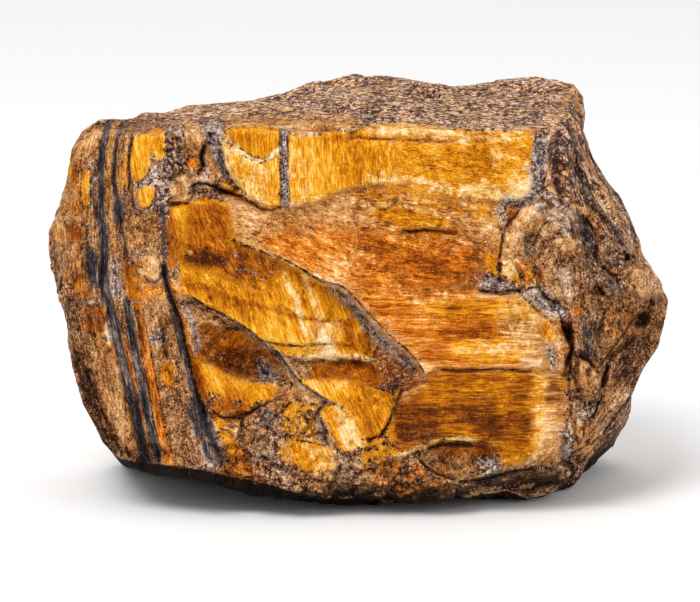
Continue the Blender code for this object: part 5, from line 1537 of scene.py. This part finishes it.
# %% The colours of each finish
ROCK = ((0.26, "#1F120B"), (0.36, "#402818"), (0.45, "#6A4830"), (0.53, "#886044"),
        (0.63, "#B38862"), (0.76, "#DDBB94"))
CRUST_COLOURS = ((0.26, "#362722"), (0.37, "#5A423A"), (0.46, "#846656"), (0.53, "#A27C64"),
                 (0.62, "#CBA07E"), (0.74, "#ECCEAE"))
BROWN = ((0.26, "#26140E"), (0.37, "#4E3020"), (0.47, "#7E5232"), (0.57, "#A87444"),
         (0.70, "#D0A06C"))
TAN = ((0.26, "#5E3214"), (0.37, "#8E5424"), (0.47, "#B97A3C"), (0.57, "#D39A5A"),
       (0.69, "#E8BF8C"), (0.80, "#F8E2C4"))
ORANGE = ((0.26, "#662C00"), (0.37, "#944604"), (0.47, "#BC620C"), (0.57, "#D67C1C"),
          (0.68, "#E8A450"), (0.80, "#F8D4A4"))
GOLD = ((0.24, "#5C2A00"), (0.35, "#8E4A00"), (0.45, "#BA6C00"), (0.54, "#D88A06"),
        (0.63, "#EAA726"), (0.74, "#F4C868"), (0.86, "#FBE8B6"))
AMBER = ((0.26, "#401600"), (0.37, "#682A00"), (0.48, "#944800"), (0.60, "#BC6A04"),
         (0.74, "#D89428"))
CREAM = ((0.26, "#A86A1C"), (0.38, "#D49A44"), (0.49, "#E9C074"), (0.61, "#F5DCA4"),
         (0.74, "#FCF0D4"))
SEAM = ((0.24, "#1C1618"), (0.34, "#40343A"), (0.44, "#6C5A58"), (0.53, "#907C72"),
        (0.64, "#B6A090"), (0.78, "#E0CCBA"))
SLATE = ((0.26, "#120E12"), (0.37, "#242024"), (0.48, "#3C3438"), (0.59, "#62544E"),
         (0.72, "#A08C78"))
# The gap finish is painted shade: near-black in cracks, under ledges and rims, and underneath.
GAP_SHADE = ((0.30, "#0A0503"), (0.60, "#2A180E"))
LAYERS = (  # finish, colours, texture, two strays of its edge and its softness, in squares
    ("crust", CRUST_COLOURS, weathered, 26, 6, 1.5),
    ("brown", BROWN, earthy, 18, 6, 3),
    ("tan", TAN, banded, 16, 6, 3),
    ("orange", ORANGE, banded, 26, 6, 3),
    ("gold", GOLD, silky, 12, 5, 1.0),
    ("amber", AMBER, silky, 16, 5, 2),
    ("cream", CREAM, silky, 12, 8, 2.5),
    ("seam", SEAM, rocky, 8, 12, 1.2),
    ("slate", SLATE, banded, 6, 3, 0.8),
    ("gap", GAP_SHADE, rocky, 5, 5, 0.8),
)
RUST = ((0.32, "#7C7C98"), (0.42, "#A0A0B0"), (0.50, "#BAB4B0"), (0.58, "#D0B48C"),
        (0.70, "#F0AC58"))
RUST_SHARE = 0.6
stain = add("TexNoise", {"Vector": grain_place, "Scale": 0.5, "Detail": 5.0,
                         "Roughness": 0.75})
colour = add("ValToRGB", {"Fac": rocky}, ROCK)
masks = {}
for finish, colours, texture, ragged_stray, speck_stray, softness in LAYERS:
    depth_here = add("Attribute", {}, output=2, attribute_name=finish)
    strays = blend(((ragged, ragged_stray), (speck, speck_stray)))
    strayed = add("Math", {0: depth_here, 1: strays}, operation="ADD")
    masks[finish] = add(
        "MapRange",
        {"Value": strayed, "From Min": 0.5 - softness, "From Max": 0.5 + softness},
        interpolation_type="SMOOTHSTEP",
    )
    paint = add("ValToRGB", {"Fac": texture}, colours)
    colour = add("Mix", {0: masks[finish], 6: colour, 7: paint}, output=2, data_type="RGBA")
    if finish == "crust":
        tint = add("ValToRGB", {"Fac": stain}, RUST)
        colour = add("Mix", {0: RUST_SHARE, 6: colour, 7: tint}, output=2, data_type="RGBA",
                     blend_type="OVERLAY")

# %% Painted glints, dirt and painted shade in the hollows, painted shade underneath, and the surface
TINGE = ((0.36, "#A8A8B8"), (0.50, "#BCBCBC"), (0.64, "#CCBC9C"))
TINGE_SHARE, PAINTED_GLINT_SHARE = 0.45, 0.35
PAINTED_GLINT, DIRT_AND_SHADE, SHADE = "#FFD680", "#22130A", "#080402"
tinge = add("TexNoise", {"Vector": place, "Scale": 1.2, "Detail": 5.0, "Roughness": 0.7})
tinge_colour = add("ValToRGB", {"Fac": tinge}, TINGE)
colour = add("Mix", {0: TINGE_SHARE, 6: colour, 7: tinge_colour}, output=2, data_type="RGBA",
             blend_type="OVERLAY")
shiny = masks["gold"]
for finish in ("amber", "orange", "tan"):
    shiny = add("Math", {0: shiny, 1: masks[finish]}, operation="MAXIMUM")
# Painted glints: tiny painted highlights scattered over the gold, amber, orange and tan.
painted_glint = add("MapRange", {"Value": dust, "From Min": 0.68, "From Max": 0.76})
painted_glint = add("Math", {0: painted_glint, 1: shiny}, operation="MULTIPLY")
painted_glint = add("Math", {0: painted_glint, 1: PAINTED_GLINT_SHARE}, operation="MULTIPLY")
colour = add("Mix", {0: painted_glint, 6: colour, 7: linear(PAINTED_GLINT)}, output=2, data_type="RGBA")

# Hollows are darkened toward near-black brown: partly dirt, partly painted shade where a crevice
# lies in shadow.
hollow_depth = blend(((ridge_light, -3.0), (swell_light, -3.5), (speck, 0.5)))
dirt_and_shade = add("MapRange", {"Value": hollow_depth, "From Min": 0.8, "From Max": 1.2,
                        "To Max": 0.7})
colour = add("Mix", {0: dirt_and_shade, 6: colour, 7: linear(DIRT_AND_SHADE)}, output=2, data_type="RGBA")
# Painted shade: the underside near the floor is darkened almost to black.
underside_shade_here = add("Attribute", {}, output=2, attribute_name="under")
colour = add("Mix", {0: underside_shade_here, 6: colour, 7: linear(SHADE)}, output=2,
             data_type="RGBA")

silk = add("Math", {0: masks["gold"], 1: masks["cream"]}, operation="MAXIMUM")
roughness = add("MapRange", {"Value": silk, "To Min": 0.75, "To Max": 0.5})
height = blend(((speck, 0.12), (dust, 0.06), (ragged, 0.14), (thread, 0.06),
                (crackle, 0.08)))
bump = add("Bump", {"Height": height, "Distance": MM, "Strength": 0.9})
surface = add(
    "BsdfPrincipled",
    {"Base Color": colour, "Roughness": roughness, "IOR": 1.54, "Specular IOR Level": 0.06,
     "Normal": bump},
)
add("OutputMaterial", {"Surface": surface})
stone.data.materials.clear()
stone.data.materials.append(look)
print("material:", len(tree.nodes), "nodes")

# %% [markdown]
# ## Floor, light, and joining the frame
# The stone stands on a plain pale floor in soft studio light: a white room, and one large
# lamp high in front that gives the ledges their shadows.

# %% Floor and lights
start_piece()
bpy.ops.mesh.primitive_plane_add(size=6, location=(0, 0, 0))
floor = bpy.context.object
floor.name = "floor"
floor_look = bpy.data.materials.new("white_paper")
floor_look.use_nodes = True
paper = floor_look.node_tree.nodes["Principled BSDF"]
paper.inputs["Base Color"].default_value = linear("#FFFFFF")
paper.inputs["Roughness"].default_value = 0.9
floor.data.materials.append(floor_look)

LIGHTS = {  # place and size in m, and strength in W
    "key": ((-0.35, -0.65, 0.95), 0.5, 8.0),
    "fill": ((0.75, -0.55, 0.45), 0.6, 1.0),
}
for name, (spot, size, watts) in LIGHTS.items():
    lamp_data = bpy.data.lights.new(name, "AREA")
    lamp_data.size, lamp_data.energy = size, watts
    lamp = bpy.data.objects.new(name, lamp_data)
    bpy.context.scene.collection.objects.link(lamp)
    lamp.location = spot
    lamp.rotation_mode = "QUATERNION"
    lamp.rotation_quaternion = (SHEET_TARGET * MM - Vector(spot)).to_track_quat("-Z", "Y")
ROOM_STRENGTH = 0.75
room = bpy.data.worlds.new("white_room")
room.use_nodes = True
room.node_tree.nodes["Background"].inputs["Color"].default_value = (1, 1, 1, 1)
room.node_tree.nodes["Background"].inputs["Strength"].default_value = ROOM_STRENGTH
bpy.context.scene.world = room
bpy.context.scene.view_settings.view_transform = "Standard"

# %% Join it to the frame
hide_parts(NODE)
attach(stone, "root")
